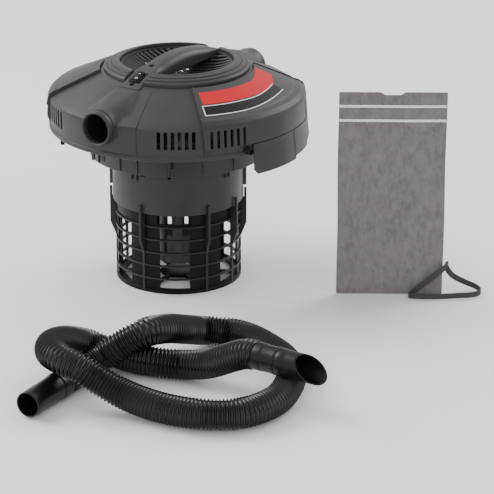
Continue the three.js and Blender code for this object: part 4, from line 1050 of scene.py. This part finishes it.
# ---- handle and switch ---------------------------------------------------------------------------
SWITCH_PLACE = (0.0, -91.0, 315.4)
SWITCH_TILT = 17.0


def on_switch():
    """The matrix that carries a shape made about the switch's own centre to its place on the handle."""
    return Matrix.Translation(SWITCH_PLACE) @ Matrix.Rotation(radians(SWITCH_TILT), 4, "X")


def handle_section(y, foot, soft):
    """The handle's cross-section at a place along it: well rounded above, nearly square below."""
    top = HANDLE_CREST - 26.0 * (y / HANDLE_REACH) ** 2
    soft -= (soft - 4.5) * smooth_step((abs(y) - 52) / 24)
    fall = min(0.85 * soft, top - foot - 2.0)
    edge = min(1.6, (top - foot) / 3)
    ring = []
    for i in range(18):
        turn = pi / 16 * (i if i < 9 else 17 - i)
        across = HANDLE_HALF - soft + soft * cos(turn)
        ring.append(Vector((across if i < 9 else -across, y, top - fall + fall * sin(turn))))
    for x, z in ((-HANDLE_HALF, edge), (edge - HANDLE_HALF, 0), (HANDLE_HALF - edge, 0), (HANDLE_HALF, edge)):
        ring.append(Vector((x, y, foot + z)))
    return ring


def make_handle(sizes):
    """The arched handle: rounded along its top, a deep foot at each end, pockets for switch and screws."""
    inner = HANDLE_REACH - FOOT_LENGTH
    soft = sizes.handle_round / MM
    places = [(-HANDLE_REACH * (1 - i / 14), HANDLE_FOOT) for i in range(15)]
    places = [(y, foot) for y, foot in places if y < -inner] + [(-inner, HANDLE_FOOT), (-inner + 0.8, GRIP_UNDERSIDE)]
    places += [(inner * i / 12, GRIP_UNDERSIDE) for i in range(-11, 1)]
    places += [(-y, foot) for y, foot in places[-2::-1]]
    bm = bmesh.new()
    lofted(bm, [handle_section(y, foot, soft) for y, foot in places])
    tool = bmesh.new()
    box(tool, (17.8, 24.8, 20.0), (0, 0, 2.0), on_switch(), 0.4)
    for y, drop in ((-60.0, 7.5), (-106.0, 22.7)):
        made = bmesh.ops.create_cone(tool, cap_ends=True, segments=32, radius1=3.6, radius2=3.6, depth=9.0)["verts"]
        bmesh.ops.translate(tool, vec=(0, y, HANDLE_CREST - drop + 0.6), verts=made)
    handle = carved(bm, tool)
    piece = finished("arched_handle", handle, finish("charcoal"), "head", ("handle",), 32.0)
    round_normals(piece, 0.5, angle=50.0)


def make_switch():
    """The switch's bezel, its rocker and the generic marks on the rocker."""
    bm = bmesh.new()
    box(bm, (17.0, 24.0, 8.6), (0, 0, -3.1), round_edges=0.9)
    hole = bmesh.new()
    box(hole, (11.8, 19.5, 12.0), (0, 0, 0.8), round_edges=0.3)
    bezel = carved(bm, hole)
    bmesh.ops.transform(bezel, matrix=on_switch(), verts=bezel.verts)
    finished("switch_surround", bezel, finish("black"), "head", ("switch_bezel",))

    half = 9.0
    outline = rounded([(-half + 1.6, -3.6), (half - 1.6, -3.6), (half, 0.0), (half - 0.3, 4.6), (0, 2.2),
                       (-half + 0.3, 1.9), (-half, 0.0)], 0.7)
    bm = bmesh.new()
    lay = Matrix(((0, 0, 1, 0), (1, 0, 0, 0), (0, 1, 0, 0), (0, 0, 0, 1)))
    extruded(bm, outline, 11.0, on_switch() @ lay)
    round_sharp(bm, 0.5, 60.0, 2)
    finished("rocker_paddle", bm, finish("black"), "rocker", ("rocker_switch",))

    bm = bmesh.new()
    turned(bm, [(1.25, 0.0), (1.9, 0.0), (1.9, 0.35), (1.25, 0.35)], steps=32)
    bmesh.ops.transform(bm, matrix=on_switch() @ Matrix.Translation((0, -4.6, 1.85)), verts=bm.verts)
    slope = Matrix.Translation((0, 4.6, 3.3)) @ Matrix.Rotation(radians(15), 4, "X")
    box(bm, (3.6, 0.7, 0.5), turn=on_switch() @ slope, round_edges=0.1)
    finished("rocker_marks", bm, finish("white_print"), "rocker")


def make_handle_screws():
    """The two screws sunk in the handle."""
    for i, (y, drop) in enumerate(((-60.0, 7.5), (-106.0, 22.7)), 1):
        top = HANDLE_CREST - drop - 1.4
        bm = bmesh.new()
        turned(bm, rounded([(0, top - 2), (3.2, top - 2), (3.2, top - 0.5), (2.0, top), (0, top)], 0.3), steps=32)
        cross = bmesh.new()
        box(cross, (4.0, 0.9, 2.0), (0, 0, top))
        upright = bmesh.new()
        box(upright, (0.9, 4.0, 2.0), (0, 0, top))
        head = carved(carved(bm, cross), upright)
        bmesh.ops.translate(head, vec=(0, y, 0), verts=head.verts)
        finished(f"handle_screw_head_{i}", head, finish("dark_steel"), "head", (f"handle_screw_{i}",))


# ---- guards, gland and lower housing -------------------------------------------------------------
def guard_foot(angle):
    """The guard's lower edge: rounded in front, then stepping up behind its crease."""
    front = 6.0 * (1 - smooth_step((angle - GUARD_FROM) / 2.2))
    first_step = 5.5 * smooth_step((angle - 97.0) / 0.8)
    second_step = 7.0 * smooth_step((angle - 112.5) / 0.8)
    back = 6.0 * smooth_step((angle - GUARD_TO + 2.5) / 2.5)
    return GUARD_FOOT + 0.2 + front + first_step + second_step + back


def make_guards():
    """The flared guards that hang below the side panels."""
    for name, node, mirror in (("right_skirt_guard", "right_guard", 1), ("left_skirt_guard", "left_guard", -1)):
        bm = bmesh.new()
        made = bmesh.ops.create_grid(bm, x_segments=120, y_segments=14, size=1.0)["verts"]
        for vert in made:
            angle = GUARD_FROM + (GUARD_TO - GUARD_FROM) * (vert.co.x + 1) / 2
            part = (vert.co.y + 1) / 2
            foot = guard_foot(angle)
            z = foot + (GUARD_TOP - 0.1 - foot) * part
            flare = 2.6 * smooth_step((GUARD_TOP - z) / 36.0)
            crease = 0.9 * smooth_step((angle - 96.6) / 0.5)
            vert.co = bearing(SKIRT_RADIUS + 3.4 + flare + crease, angle, z)
        bmesh.ops.recalc_face_normals(bm, faces=bm.faces)
        bmesh.ops.solidify(bm, geom=bm.faces[:], thickness=2.4)
        if mirror < 0:
            bmesh.ops.scale(bm, vec=(-1, 1, 1), verts=bm.verts)
        piece = finished(name, bm, finish("charcoal"), "head", (node,), 35.0)
        round_normals(piece, 0.7, angle=60.0)


def make_gland():
    """The cord inlet's ribbed rubber stub, standing out of the skirt."""
    bm = bmesh.new()
    outline = [(0, 0.5), (6.0, 0.5)]
    for ring in range(4):
        outline += [(5.9 - 0.2 * ring, 1.2 + 2.6 * ring), (4.7 - 0.2 * ring, 1.6 + 2.6 * ring),
                    (4.7 - 0.2 * ring, 2.9 + 2.6 * ring), (5.8 - 0.2 * ring, 3.3 + 2.6 * ring)]
    outline += [(5.0, 12.2), (3.4, 12.2), (3.2, 8.0), (0, 8.0)]
    turned(bm, outline, steps=40)
    out = bearing_turn(67.0) @ Matrix.Translation((0, -SKIRT_RADIUS, 236.0)) @ Matrix.Rotation(radians(90), 4, "X")
    bmesh.ops.transform(bm, matrix=out, verts=bm.verts)
    finished("cord_inlet", bm, finish("rubber"), "head", ("cord_gland",))


def make_lower_housing():
    """The lower housing: its flange, the ribbed ring that drops into the bucket, and the duct's opening."""
    flange = SKIRT_FOOT - 1
    outer = 176.4
    foot = SEAT_FOOT
    section = rounded([
        (28.0, foot), (SEAT_RADIUS, foot), (SEAT_RADIUS, flange), (outer, flange), (outer, flange + 12),
        (outer - 3, flange + 12), (outer - 3, flange + 3), (SEAT_RADIUS - 3, flange + 3),
        (SEAT_RADIUS - 3, foot + 3), (28.0, foot + 3),
    ], 1.0)
    bm = bmesh.new()
    turned(bm, section, steps=160)
    opening = bmesh.new()
    box(opening, (54.8, 21.3, 8.0), (0, -105.75, foot + 2))
    body = carved(bm, opening)
    for angle in (-58, -26, -4, 9, 30, 52, 74, 118, 150, 176, 189, 210, 232, 270):
        box(body, (1.5, 3.0, flange - foot - 3), (0, -SEAT_RADIUS - 0.6, (flange + foot) / 2), bearing_turn(angle), 0.4)
    for angle, radius in ((-5.3, 176.0), (-0.3, 173.0)):
        box(body, (5.0, 4.0, 14.0), (0, -radius, flange - 3.0), bearing_turn(angle), 1.2)
    for angle in range(10, 370, 20):
        box(body, (1.8, 44.0, 3.0), (0, -SEAT_RADIUS - 26, flange + 2.2), bearing_turn(angle), 0.3)
    finished("bucket_seat", body, finish("charcoal"), "head", ("lower_housing",), 30.0)


def make_bucket_seal():
    """The foam ring under the flange."""
    lowest, highest = low("bucket_seal"), high("bucket_seal")
    bm = bmesh.new()
    outline = rounded([(highest.x - 16, lowest.z), (highest.x, lowest.z), (highest.x, highest.z),
                       (highest.x - 16, highest.z)], 1.2)
    turned(bm, outline, steps=128)
    finished("foam_seal", bm, finish("foam"), "head", ("bucket_seal",))


def make_housing_screws():
    """The four screw ends that show below the skirt."""
    places = {"front_left": -33, "front_right": 33, "rear_right": 147, "rear_left": 213}
    for place, angle in places.items():
        node = f"housing_screw_{place}"
        foot, top = low(node).z, high(node).z
        bm = bmesh.new()
        foot -= 4.0
        turned(bm, rounded([(0, foot), (3.0, foot), (3.2, top), (0, top)], 0.9), steps=32)
        bmesh.ops.translate(bm, vec=bearing(172.0, angle), verts=bm.verts)
        finished(f"housing_peg_{place}", bm, finish("black"), "head", (node,))


# ---- neck drum, cage and float -------------------------------------------------------------------
def make_neck_drum():
    """The neck drum with its eye for the float, paired posts and small openings under the seat."""
    inner = DRUM_RADIUS - 3
    eye = 22.0
    foot, top = DRUM_FOOT, DRUM_TOP
    section = rounded([
        (eye, foot + 11), (inner, foot + 11), (inner, foot), (DRUM_RADIUS - 0.2, foot), (DRUM_RADIUS, foot + 2),
        (DRUM_RADIUS, top), (inner, top), (inner, foot + 14), (eye, foot + 14),
    ], 0.6)
    bm = bmesh.new()
    turned(bm, section, steps=144)
    openings = bmesh.new()
    for angle, width in ((3.4, 9.0), (28.0, 4.5), (75.5, 6.0), (183.4, 9.0), (208.0, 4.5), (255.5, 6.0)):
        box(openings, (width, 12.0, 7.5), (0, -DRUM_RADIUS, top - 9.0), bearing_turn(angle), 0.8)
    drum = carved(bm, openings)
    for angle in (-7.4, -2.2, 80.4, 84.6, 172.6, 177.8, 260.4, 264.6):
        box(drum, (2.0, 4.0, 19.0), (0, -DRUM_RADIUS - 1.2, top - 10.2), bearing_turn(angle), 0.6)
    for angle in (122.0, 302.0):
        box(drum, (FIN_THICK + 1, 6.4, top - FIN_TOP - 5), (0, -DRUM_RADIUS - 1.2, (top + FIN_TOP + 3) / 2),
            bearing_turn(angle), 0.8)
    finished("neck_barrel", drum, finish("charcoal"), "head", ("neck_drum",), 30.0)


def fin_outline():
    """The side view of one cage fin, as (radius, z)."""
    inside = CAGE_RADIUS - CAGE_WALL / 2
    return [(inside, 1.0), (CAGE_RADIUS + RIB_PROUD, 1.0), (CAGE_RADIUS + RIB_PROUD, 58.0), (FIN_RADIUS, 78.0),
            (FIN_RADIUS, FIN_TOP), (DRUM_RADIUS + 1, FIN_TOP), (DRUM_RADIUS + 1, DRUM_FOOT - 1.5),
            (inside, DRUM_FOOT - 1.5)]


def make_cage():
    """The filter cage: posts, thin proud ribs, a deep top band with two slots, and tapering fins."""
    bm, ribs = bmesh.new(), bmesh.new()
    inner = CAGE_RADIUS - CAGE_WALL
    proud = CAGE_RADIUS + RIB_PROUD
    turned(bm, rounded([(inner, 0.0), (proud, 0.0), (proud, 5.2), (CAGE_RADIUS, 6.0), (inner, 6.0)], 0.5), steps=120)
    for height in RIB_HEIGHTS:
        rib = [(inner, height), (proud, height), (proud, height + RIB_THICK), (inner, height + RIB_THICK)]
        turned(ribs, rounded(rib, 0.55), steps=120)
    post_sweep = 60.0 - WINDOW_SWEEP
    for angle in FIN_ANGLES:
        post = [(inner, 5.0), (CAGE_RADIUS, 5.0), (CAGE_RADIUS, RIB_HEIGHTS[-1] + 1), (inner, RIB_HEIGHTS[-1] + 1)]
        turned(bm, post, steps=12, start=angle - post_sweep / 2, sweep=post_sweep)
    band = bmesh.new()
    turned(band, rounded([(inner, 99.0), (CAGE_RADIUS, 99.0), (CAGE_RADIUS, CAGE_TOP), (inner, CAGE_TOP)], 0.4),
           steps=120)
    slots = bmesh.new()
    for angle in (30.0, 210.0):
        box(slots, (44.0, 30.0, 12.5), (0, -CAGE_RADIUS + 8, 109.5), bearing_turn(angle), 0.8)
    band = carved(band, slots)
    for angle in (30.0, 210.0):
        box(band, (1.8, 2.0, 14.0), (0, -CAGE_RADIUS + 1.6, 109.5), bearing_turn(angle), 0.4)
    lay = Matrix(((0, 0, 1, 0), (-1, 0, 0, 0), (0, 1, 0, 0), (0, 0, 0, 1)))
    for angle in FIN_ANGLES + [94.0, 274.0]:
        extruded(ribs, rounded(fin_outline(), 0.8), FIN_THICK, bearing_turn(angle) @ lay)
    mesh = bpy.data.meshes.new("cage parts")
    band.to_mesh(mesh)
    band.free()
    bm.from_mesh(mesh)
    bpy.data.meshes.remove(mesh)
    walls = finished("cage_walls", bm, finish("black"), "head", ("filter_cage",), 30.0)
    # The ribs and fins take the lighter copy of the cage's black as a painted highlight.
    edges = finished("cage_ribs_and_fins", ribs, finish("highlit_black"), "head", smooth=30.0)
    for piece in (walls, edges):
        round_normals(piece, 0.4, angle=60.0)


def make_cage_base():
    """The spoked plate that closes the cage's underside."""
    outer = high("cage_base").x
    bm = bmesh.new()
    turned(bm, rounded([(0, 0), (26, 0), (26, 4), (0, 4)], 0.8), steps=64)
    turned(bm, rounded([(outer - 8, 0), (outer, 0), (outer, 4), (outer - 8, 4)], 0.8), steps=120)
    for angle in FIN_ANGLES:
        box(bm, (6.0, outer - 24.0, 3.6), (0, -(outer + 16) / 2, 2.0), bearing_turn(angle), 0.7)
    finished("cage_floor", bm, finish("black"), "head", ("cage_base",))


def make_float_parts():
    """The slotted float cage and the float inside it."""
    foot, top = low("float_cage").z, high("float_cage").z
    inner, wall = 25.5, 2.0
    outer = inner + wall
    section = rounded([(inner - 10, foot), (outer, foot), (outer, top - 2), (outer + 8, top - 2), (outer + 8, top),
                       (inner, top), (inner, foot + 2), (inner - 10, foot + 2)], 0.5)
    bm = bmesh.new()
    turned(bm, section, steps=72)
    slots = bmesh.new()
    for angle in (2.0, 62.0, 122.0):
        box(slots, (14.0, 2 * outer + 4, top - foot - 22), (0, 0, (top + foot) / 2), bearing_turn(angle), 1.0)
    cup = carved(bm, slots)
    finished("float_guide", cup, finish("grey"), "head", ("float_cage",), 30.0)
    foot, top = low("float").z, high("float").z
    bm = bmesh.new()
    turned(bm, rounded([(0, foot), (24, foot), (24, top - 6), (16, top), (0, top)], 2.4, steps=5), steps=72)
    finished("float_ball_cup", bm, finish("grey"), "float", ("float",))


# ---- filter bag and band -------------------------------------------------------------------------
def bag_place():
    """The matrix that stands the bag in its place."""
    return Matrix.Translation(BAG_PLACE) @ bearing_turn(BAG_TURN)


def bag_half_depth(across, height):
    """Half the bag's thickness: thin at its edges, fuller between, quilted and tight at its folded foot."""
    side = 1 - abs(across / (BAG_WIDTH / 2)) ** 8
    end = smooth_step(height / 14.0) * smooth_step((BAG_HEIGHT - height) / 10.0)
    slow = 0.30 * sin(across * 0.061 + 0.7) * sin(height * 0.027 + 0.4)
    return 0.95 + max(0.0, side) * (0.35 + 0.55 * end + slow * end)


def bag_top(across):
    """The bag's top edge, with a shallow thumb notch in its middle."""
    return BAG_HEIGHT - 0.2 - 4.0 * (1 - smooth_step((abs(across) - 11.0) / 6.0))


def make_bag(sizes):
    """The folded cloth filter bag with its thumb notch and folded foot, and its two printed stripes."""
    columns, rows = 60, 110
    bm = bmesh.new()
    made = bmesh.ops.create_grid(bm, x_segments=columns, y_segments=rows, size=1.0)["verts"]
    shape = {}
    for vert in made:
        across = vert.co.x * BAG_WIDTH / 2
        across -= 0.4 * sin(vert.co.y * 5.0) * abs(vert.co.x) ** 6
        height = bag_top(across) * (vert.co.y + 1) / 2
        depth = bag_half_depth(across, height)
        if height < 9.0:
            depth += 0.9 * smooth_step((9.0 - height) / 0.8)
        shape[vert] = depth
        vert.co = Vector((across, -depth, height))
    faces = bm.faces[:]
    back = bmesh.ops.extrude_face_region(bm, geom=faces)["geom"]
    for vert in (item for item in back if isinstance(item, bmesh.types.BMVert)):
        vert.co.y = -vert.co.y
    bmesh.ops.transform(bm, matrix=bag_place(), verts=bm.verts)
    bag = finished("cloth_bag", bm, finish("cloth"), "filter_bag", ("filter_bag",), 60.0)
    subdivision = bag.modifiers.new("soften", "SUBSURF")
    subdivision.levels = subdivision.render_levels = 1
    for i, centre in enumerate((sizes.upper_stripe / MM, sizes.lower_stripe / MM), 1):
        half = sizes.stripe_width / MM / 2
        bm = bmesh.new()
        made = bmesh.ops.create_grid(bm, x_segments=columns, y_segments=4, size=1.0)["verts"]
        for vert in made:
            across = vert.co.x * (BAG_WIDTH / 2 - 0.7)
            height = centre + vert.co.y * half + 0.12 * sin(across * 0.6)
            vert.co = Vector((across, -bag_half_depth(across, height) - 0.12, height))
        raised = bmesh.ops.extrude_face_region(bm, geom=bm.faces[:])["geom"]
        lowered = [item for item in raised if isinstance(item, bmesh.types.BMVert)]
        bmesh.ops.translate(bm, vec=(0, 0.3, 0), verts=lowered)
        bmesh.ops.transform(bm, matrix=bag_place(), verts=bm.verts)
        finished(f"bag_stripe_{i}", bm, finish("white_print"), "filter_bag")


def make_band():
    """The elastic retainer band: a flat woven loop over the bag's side edge, trailing on the floor."""
    edge = BAG_WIDTH / 2
    clear = 8.5
    knots = [
        (edge - 46, -clear - 5, 5), (edge - 34, -clear - 1.5, 13), (edge - 16, -clear, 27), (edge - 1, -clear, 40),
        (edge + 7, 0, 45), (edge + 5, clear, 39), (edge + 14, clear + 4, 24), (edge + 32, clear + 9, 12),
        (edge + 48, clear + 6, 6), (edge + 54, -1, 5), (edge + 44, -clear - 6, 5), (edge + 20, -clear - 11, 5),
        (edge - 10, -clear - 15, 5), (edge - 36, -clear - 14, 5), (edge - 48, -clear - 10, 5),
    ]
    line = catmull_rom(knots, closed=True)
    reach = lengths_along(line, closed=True)
    total = reach[-1]
    bm = bmesh.new()
    unit = 50.0
    section = rounded([(unit - 0.8, -4.0), (unit + 0.8, -4.0), (unit + 0.8, 4.0), (unit - 0.8, 4.0)], 0.4)
    turned(bm, section, steps=220)
    tidy(bm)
    wrap = bm.loops.layers.uv.new("strap")
    for face in bm.faces:
        turns = [atan2(loop.vert.co.x, -loop.vert.co.y) / (2 * pi) % 1.0 for loop in face.loops]
        wide = max(turns) - min(turns) > 0.5
        for loop, part in zip(face.loops, turns):
            part += 1.0 if wide and part < 0.5 else 0.0
            loop[wrap].uv = (part * total / 100.0, loop.vert.co.z / 100.0)
    up = Vector((0, 0, 1))
    for vert in bm.verts:
        part = atan2(vert.co.x, -vert.co.y) / (2 * pi) % 1.0
        centre, direction = place_on(line, reach, part * total, closed=True)
        width_way = (up - direction * up.dot(direction)).normalized()
        out_way = direction.cross(width_way)
        vert.co = centre + out_way * (hypot(vert.co.x, vert.co.y) - unit) + width_way * vert.co.z
    bmesh.ops.transform(bm, matrix=bag_place(), verts=bm.verts)
    finished("elastic_band", bm, finish("elastic"), "retainer_band", ("retainer_band",), 60.0)


# ---- parts inside, carried over from the frame ---------------------------------------------------
INSIDE = {
    "fan_case": "aluminium", "impeller": "aluminium", "impeller_nut": "steel", "motor_frame": "steel",
    # The upper bracket takes the blackened steel as painted shade, so it reads dark under the grille as the shaded
    # inside of the head.
    "upper_bracket": "dark_steel", "stator_core": "dark_steel", "lower_field_coil": "copper",
    "upper_field_coil": "copper", "lower_bearing": "steel", "upper_bearing": "steel", "motor_shaft": "steel",
    "armature": "dark_steel", "commutator": "copper", "cooling_fan": "black", "left_brush": "carbon",
    "right_brush": "carbon", "left_brush_holder": "black", "right_brush_holder": "black",
}


def dress_inside():
    """Gives the motor and turbine their finishes."""
    for node, finish_name in INSIDE.items():
        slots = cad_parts[node].data.materials
        slots.clear()
        slots.append(finish(finish_name))


# ---- sizes and tones that a user can change ------------------------------------------------------
def length(name, description, default):
    """A length property in metres."""
    return bpy.props.FloatProperty(
        name=name, description=description, default=default, min=0.0, unit="LENGTH", subtype="DISTANCE", precision=5,
    )


def tone(name, description, default):
    """A colour property."""
    return bpy.props.FloatVectorProperty(
        name=name, description=description, default=default, min=0.0, max=1.0, size=3, subtype="COLOR",
    )


class VacuumTones(bpy.types.PropertyGroup):
    """The vacuum's colours."""
    charcoal: tone("Charcoal", "The housing's plastic", (0.033, 0.0315, 0.033))
    black: tone("Black", "The cage and the switch", (0.0060, 0.0058, 0.0066))
    grey: tone("Grey", "The float and its guide", (0.09, 0.09, 0.095))
    hose: tone("Hose", "The hose, its cuffs and the nozzle", (0.0048, 0.0047, 0.0052))
    cloth: tone("Cloth", "The filter bag", (0.158, 0.149, 0.145))
    elastic: tone("Elastic", "The retainer band", (0.042, 0.040, 0.042))
    label: tone("Label", "The band printed on the side panel", (0.56, 0.006, 0.013))


class VacuumSizes(bpy.types.PropertyGroup):
    """The sizes of details that the frame leaves open."""
    pitch: length("Hose Pitch", "From one ridge of the hose to the next", 0.0050)
    ridge_height: length("Hose Ridge", "How far the hose's ridges stand up", 0.0026)
    sides: bpy.props.IntProperty(
        name="Hose Sides", description="Faces round the hose", default=36, min=12, max=64,
    )
    ridge_proud: length("Panel Ridge", "How far the ridge at a side panel's edge stands up", 0.0012)
    edge_round: length("Housing Edges", "The radius of the housing's edges", 0.0006)
    slat_pitch: length("Slat Pitch", "From one grille slat to the next", 0.0075)
    slat_width: length("Slat Width", "The width of a grille slat", 0.0042)
    handle_round: length("Handle Round", "The radius along the handle's top", 0.0125)
    upper_stripe: length("Upper Stripe", "The height of the bag's upper stripe", 0.2775)
    lower_stripe: length("Lower Stripe", "The height of the bag's lower stripe", 0.2570)
    stripe_width: length("Stripe Width", "The width of each stripe on the bag", 0.0036)


class VacuumStudio(bpy.types.PropertyGroup):
    """The camera and the lights."""
    lens: bpy.props.FloatProperty(
        name="Lens", description="Focal length", default=180.93, min=10.0, subtype="DISTANCE_CAMERA",
    )
    camera_place: bpy.props.FloatVectorProperty(
        name="Camera Place", description="Where the camera stands", default=(1.9604, -2.7301, 1.2940), size=3,
        unit="LENGTH", subtype="TRANSLATION",
    )
    world_strength: bpy.props.FloatProperty(
        name="Sky", description="Strength of the even light", default=1.0, min=0.0,
    )
    key_power: bpy.props.FloatProperty(
        name="Key", description="Power of the main light", default=62.0, min=0.0, unit="POWER",
    )


# ---- operators, panel and registration -----------------------------------------------------------
class VACUUM_OT_stage(bpy.types.Operator):
    """Set up the camera, the floor and the lights."""
    bl_idname = "vacuum.stage"
    bl_label = "Stage"

    def execute(self, context):
        make_stage(context.scene.vacuum_studio)
        return {"FINISHED"}


class VACUUM_OT_head_cuff(bpy.types.Operator):
    """Make the cuff on the head end of the hose."""
    bl_idname = "vacuum.head_cuff"
    bl_label = "Head Cuff"

    def execute(self, context):
        make_head_cuff()
        return {"FINISHED"}


class VACUUM_OT_tool_end(bpy.types.Operator):
    """Make the tool cuff and the slant-cut nozzle."""
    bl_idname = "vacuum.tool_end"
    bl_label = "Tool End"

    def execute(self, context):
        make_tool_end()
        return {"FINISHED"}


class VACUUM_OT_hose(bpy.types.Operator):
    """Lay the corrugated hose."""
    bl_idname = "vacuum.hose"
    bl_label = "Hose"

    def execute(self, context):
        make_hose(context.scene.vacuum_sizes)
        return {"FINISHED"}


class VACUUM_OT_upper_housing(bpy.types.Operator):
    """Mould the domed upper housing."""
    bl_idname = "vacuum.upper_housing"
    bl_label = "Upper Housing"

    def execute(self, context):
        make_upper_housing(context.scene.vacuum_sizes)
        return {"FINISHED"}


class VACUUM_OT_side_print(bpy.types.Operator):
    """Print the plain bands on the side panel."""
    bl_idname = "vacuum.side_print"
    bl_label = "Side Print"

    def execute(self, context):
        make_side_print()
        return {"FINISHED"}


class VACUUM_OT_port_collars(bpy.types.Operator):
    """Make the ring round each port."""
    bl_idname = "vacuum.port_collars"
    bl_label = "Port Collars"

    def execute(self, context):
        make_port_collars()
        return {"FINISHED"}


class VACUUM_OT_ducts(bpy.types.Operator):
    """Make the elbows behind the ports."""
    bl_idname = "vacuum.ducts"
    bl_label = "Ducts"

    def execute(self, context):
        make_ducts()
        return {"FINISHED"}


class VACUUM_OT_grille_collar(bpy.types.Operator):
    """Make the stepped ring round the grille."""
    bl_idname = "vacuum.grille_collar"
    bl_label = "Grille Collar"

    def execute(self, context):
        make_grille_collar()
        return {"FINISHED"}


class VACUUM_OT_grille(bpy.types.Operator):
    """Make the louvred intake grille."""
    bl_idname = "vacuum.grille"
    bl_label = "Grille"

    def execute(self, context):
        make_grille(context.scene.vacuum_sizes)
        return {"FINISHED"}


class VACUUM_OT_handle(bpy.types.Operator):
    """Make the arched handle."""
    bl_idname = "vacuum.handle"
    bl_label = "Handle"

    def execute(self, context):
        make_handle(context.scene.vacuum_sizes)
        return {"FINISHED"}


class VACUUM_OT_switch(bpy.types.Operator):
    """Make the rocker switch and its surround."""
    bl_idname = "vacuum.switch"
    bl_label = "Switch"

    def execute(self, context):
        make_switch()
        return {"FINISHED"}


class VACUUM_OT_handle_screws(bpy.types.Operator):
    """Make the screws sunk in the handle."""
    bl_idname = "vacuum.handle_screws"
    bl_label = "Handle Screws"

    def execute(self, context):
        make_handle_screws()
        return {"FINISHED"}


class VACUUM_OT_guards(bpy.types.Operator):
    """Make the guards below the side panels."""
    bl_idname = "vacuum.guards"
    bl_label = "Guards"

    def execute(self, context):
        make_guards()
        return {"FINISHED"}


class VACUUM_OT_gland(bpy.types.Operator):
    """Make the stub of the cord inlet."""
    bl_idname = "vacuum.gland"
    bl_label = "Cord Inlet"

    def execute(self, context):
        make_gland()
        return {"FINISHED"}


class VACUUM_OT_lower_housing(bpy.types.Operator):
    """Make the lower housing and its seat ring."""
    bl_idname = "vacuum.lower_housing"
    bl_label = "Lower Housing"

    def execute(self, context):
        make_lower_housing()
        return {"FINISHED"}


class VACUUM_OT_bucket_seal(bpy.types.Operator):
    """Make the foam seal under the flange."""
    bl_idname = "vacuum.bucket_seal"
    bl_label = "Bucket Seal"

    def execute(self, context):
        make_bucket_seal()
        return {"FINISHED"}


class VACUUM_OT_housing_screws(bpy.types.Operator):
    """Make the screw ends below the skirt."""
    bl_idname = "vacuum.housing_screws"
    bl_label = "Housing Screws"

    def execute(self, context):
        make_housing_screws()
        return {"FINISHED"}


class VACUUM_OT_neck_drum(bpy.types.Operator):
    """Make the neck drum."""
    bl_idname = "vacuum.neck_drum"
    bl_label = "Neck Drum"

    def execute(self, context):
        make_neck_drum()
        return {"FINISHED"}


class VACUUM_OT_cage(bpy.types.Operator):
    """Make the ribbed filter cage."""
    bl_idname = "vacuum.cage"
    bl_label = "Filter Cage"

    def execute(self, context):
        make_cage()
        return {"FINISHED"}


class VACUUM_OT_cage_base(bpy.types.Operator):
    """Make the plate that closes the cage."""
    bl_idname = "vacuum.cage_base"
    bl_label = "Cage Base"

    def execute(self, context):
        make_cage_base()
        return {"FINISHED"}


class VACUUM_OT_float_parts(bpy.types.Operator):
    """Make the float and its guide."""
    bl_idname = "vacuum.float_parts"
    bl_label = "Float"

    def execute(self, context):
        make_float_parts()
        return {"FINISHED"}


class VACUUM_OT_bag(bpy.types.Operator):
    """Make the cloth filter bag."""
    bl_idname = "vacuum.bag"
    bl_label = "Filter Bag"

    def execute(self, context):
        make_bag(context.scene.vacuum_sizes)
        return {"FINISHED"}


class VACUUM_OT_band(bpy.types.Operator):
    """Make the elastic retainer band."""
    bl_idname = "vacuum.band"
    bl_label = "Retainer Band"

    def execute(self, context):
        make_band()
        return {"FINISHED"}


class VACUUM_OT_inside(bpy.types.Operator):
    """Give the motor and the turbine their finishes."""
    bl_idname = "vacuum.inside"
    bl_label = "Inside"

    def execute(self, context):
        dress_inside()
        return {"FINISHED"}


PIECES = (
    VACUUM_OT_stage,
    VACUUM_OT_head_cuff,
    VACUUM_OT_tool_end,
    VACUUM_OT_hose,
    VACUUM_OT_upper_housing,
    VACUUM_OT_side_print,
    VACUUM_OT_port_collars,
    VACUUM_OT_ducts,
    VACUUM_OT_grille_collar,
    VACUUM_OT_grille,
    VACUUM_OT_handle,
    VACUUM_OT_switch,
    VACUUM_OT_handle_screws,
    VACUUM_OT_guards,
    VACUUM_OT_gland,
    VACUUM_OT_lower_housing,
    VACUUM_OT_bucket_seal,
    VACUUM_OT_housing_screws,
    VACUUM_OT_neck_drum,
    VACUUM_OT_cage,
    VACUUM_OT_cage_base,
    VACUUM_OT_float_parts,
    VACUUM_OT_bag,
    VACUUM_OT_band,
    VACUUM_OT_inside,
)


class VACUUM_PT_pieces(bpy.types.Panel):
    """Lists the vacuum's pieces, sizes and tones."""
    bl_label = "Shop Vacuum"
    bl_idname = "VACUUM_PT_pieces"
    bl_space_type = "VIEW_3D"
    bl_region_type = "UI"
    bl_category = "Vacuum"

    def draw(self, context):
        for group in (context.scene.vacuum_studio, context.scene.vacuum_sizes, context.scene.vacuum_tones):
            for label in group.__annotations__:
                self.layout.prop(group, label)
        for piece in PIECES:
            self.layout.operator(piece.bl_idname)


GROUPS = {"vacuum_studio": VacuumStudio, "vacuum_sizes": VacuumSizes, "vacuum_tones": VacuumTones}


def register():
    for part in (*GROUPS.values(), *PIECES, VACUUM_PT_pieces):
        bpy.utils.register_class(part)
    for label, group in GROUPS.items():
        setattr(bpy.types.Scene, label, bpy.props.PointerProperty(type=group))


def unregister():
    for label in GROUPS:
        delattr(bpy.types.Scene, label)
    for part in reversed((*GROUPS.values(), *PIECES, VACUUM_PT_pieces)):
        bpy.utils.unregister_class(part)


def main():
    register()
    for piece in PIECES:
        getattr(bpy.ops.vacuum, piece.bl_idname.split(".")[1])()


if __name__ == "__main__":
    main()
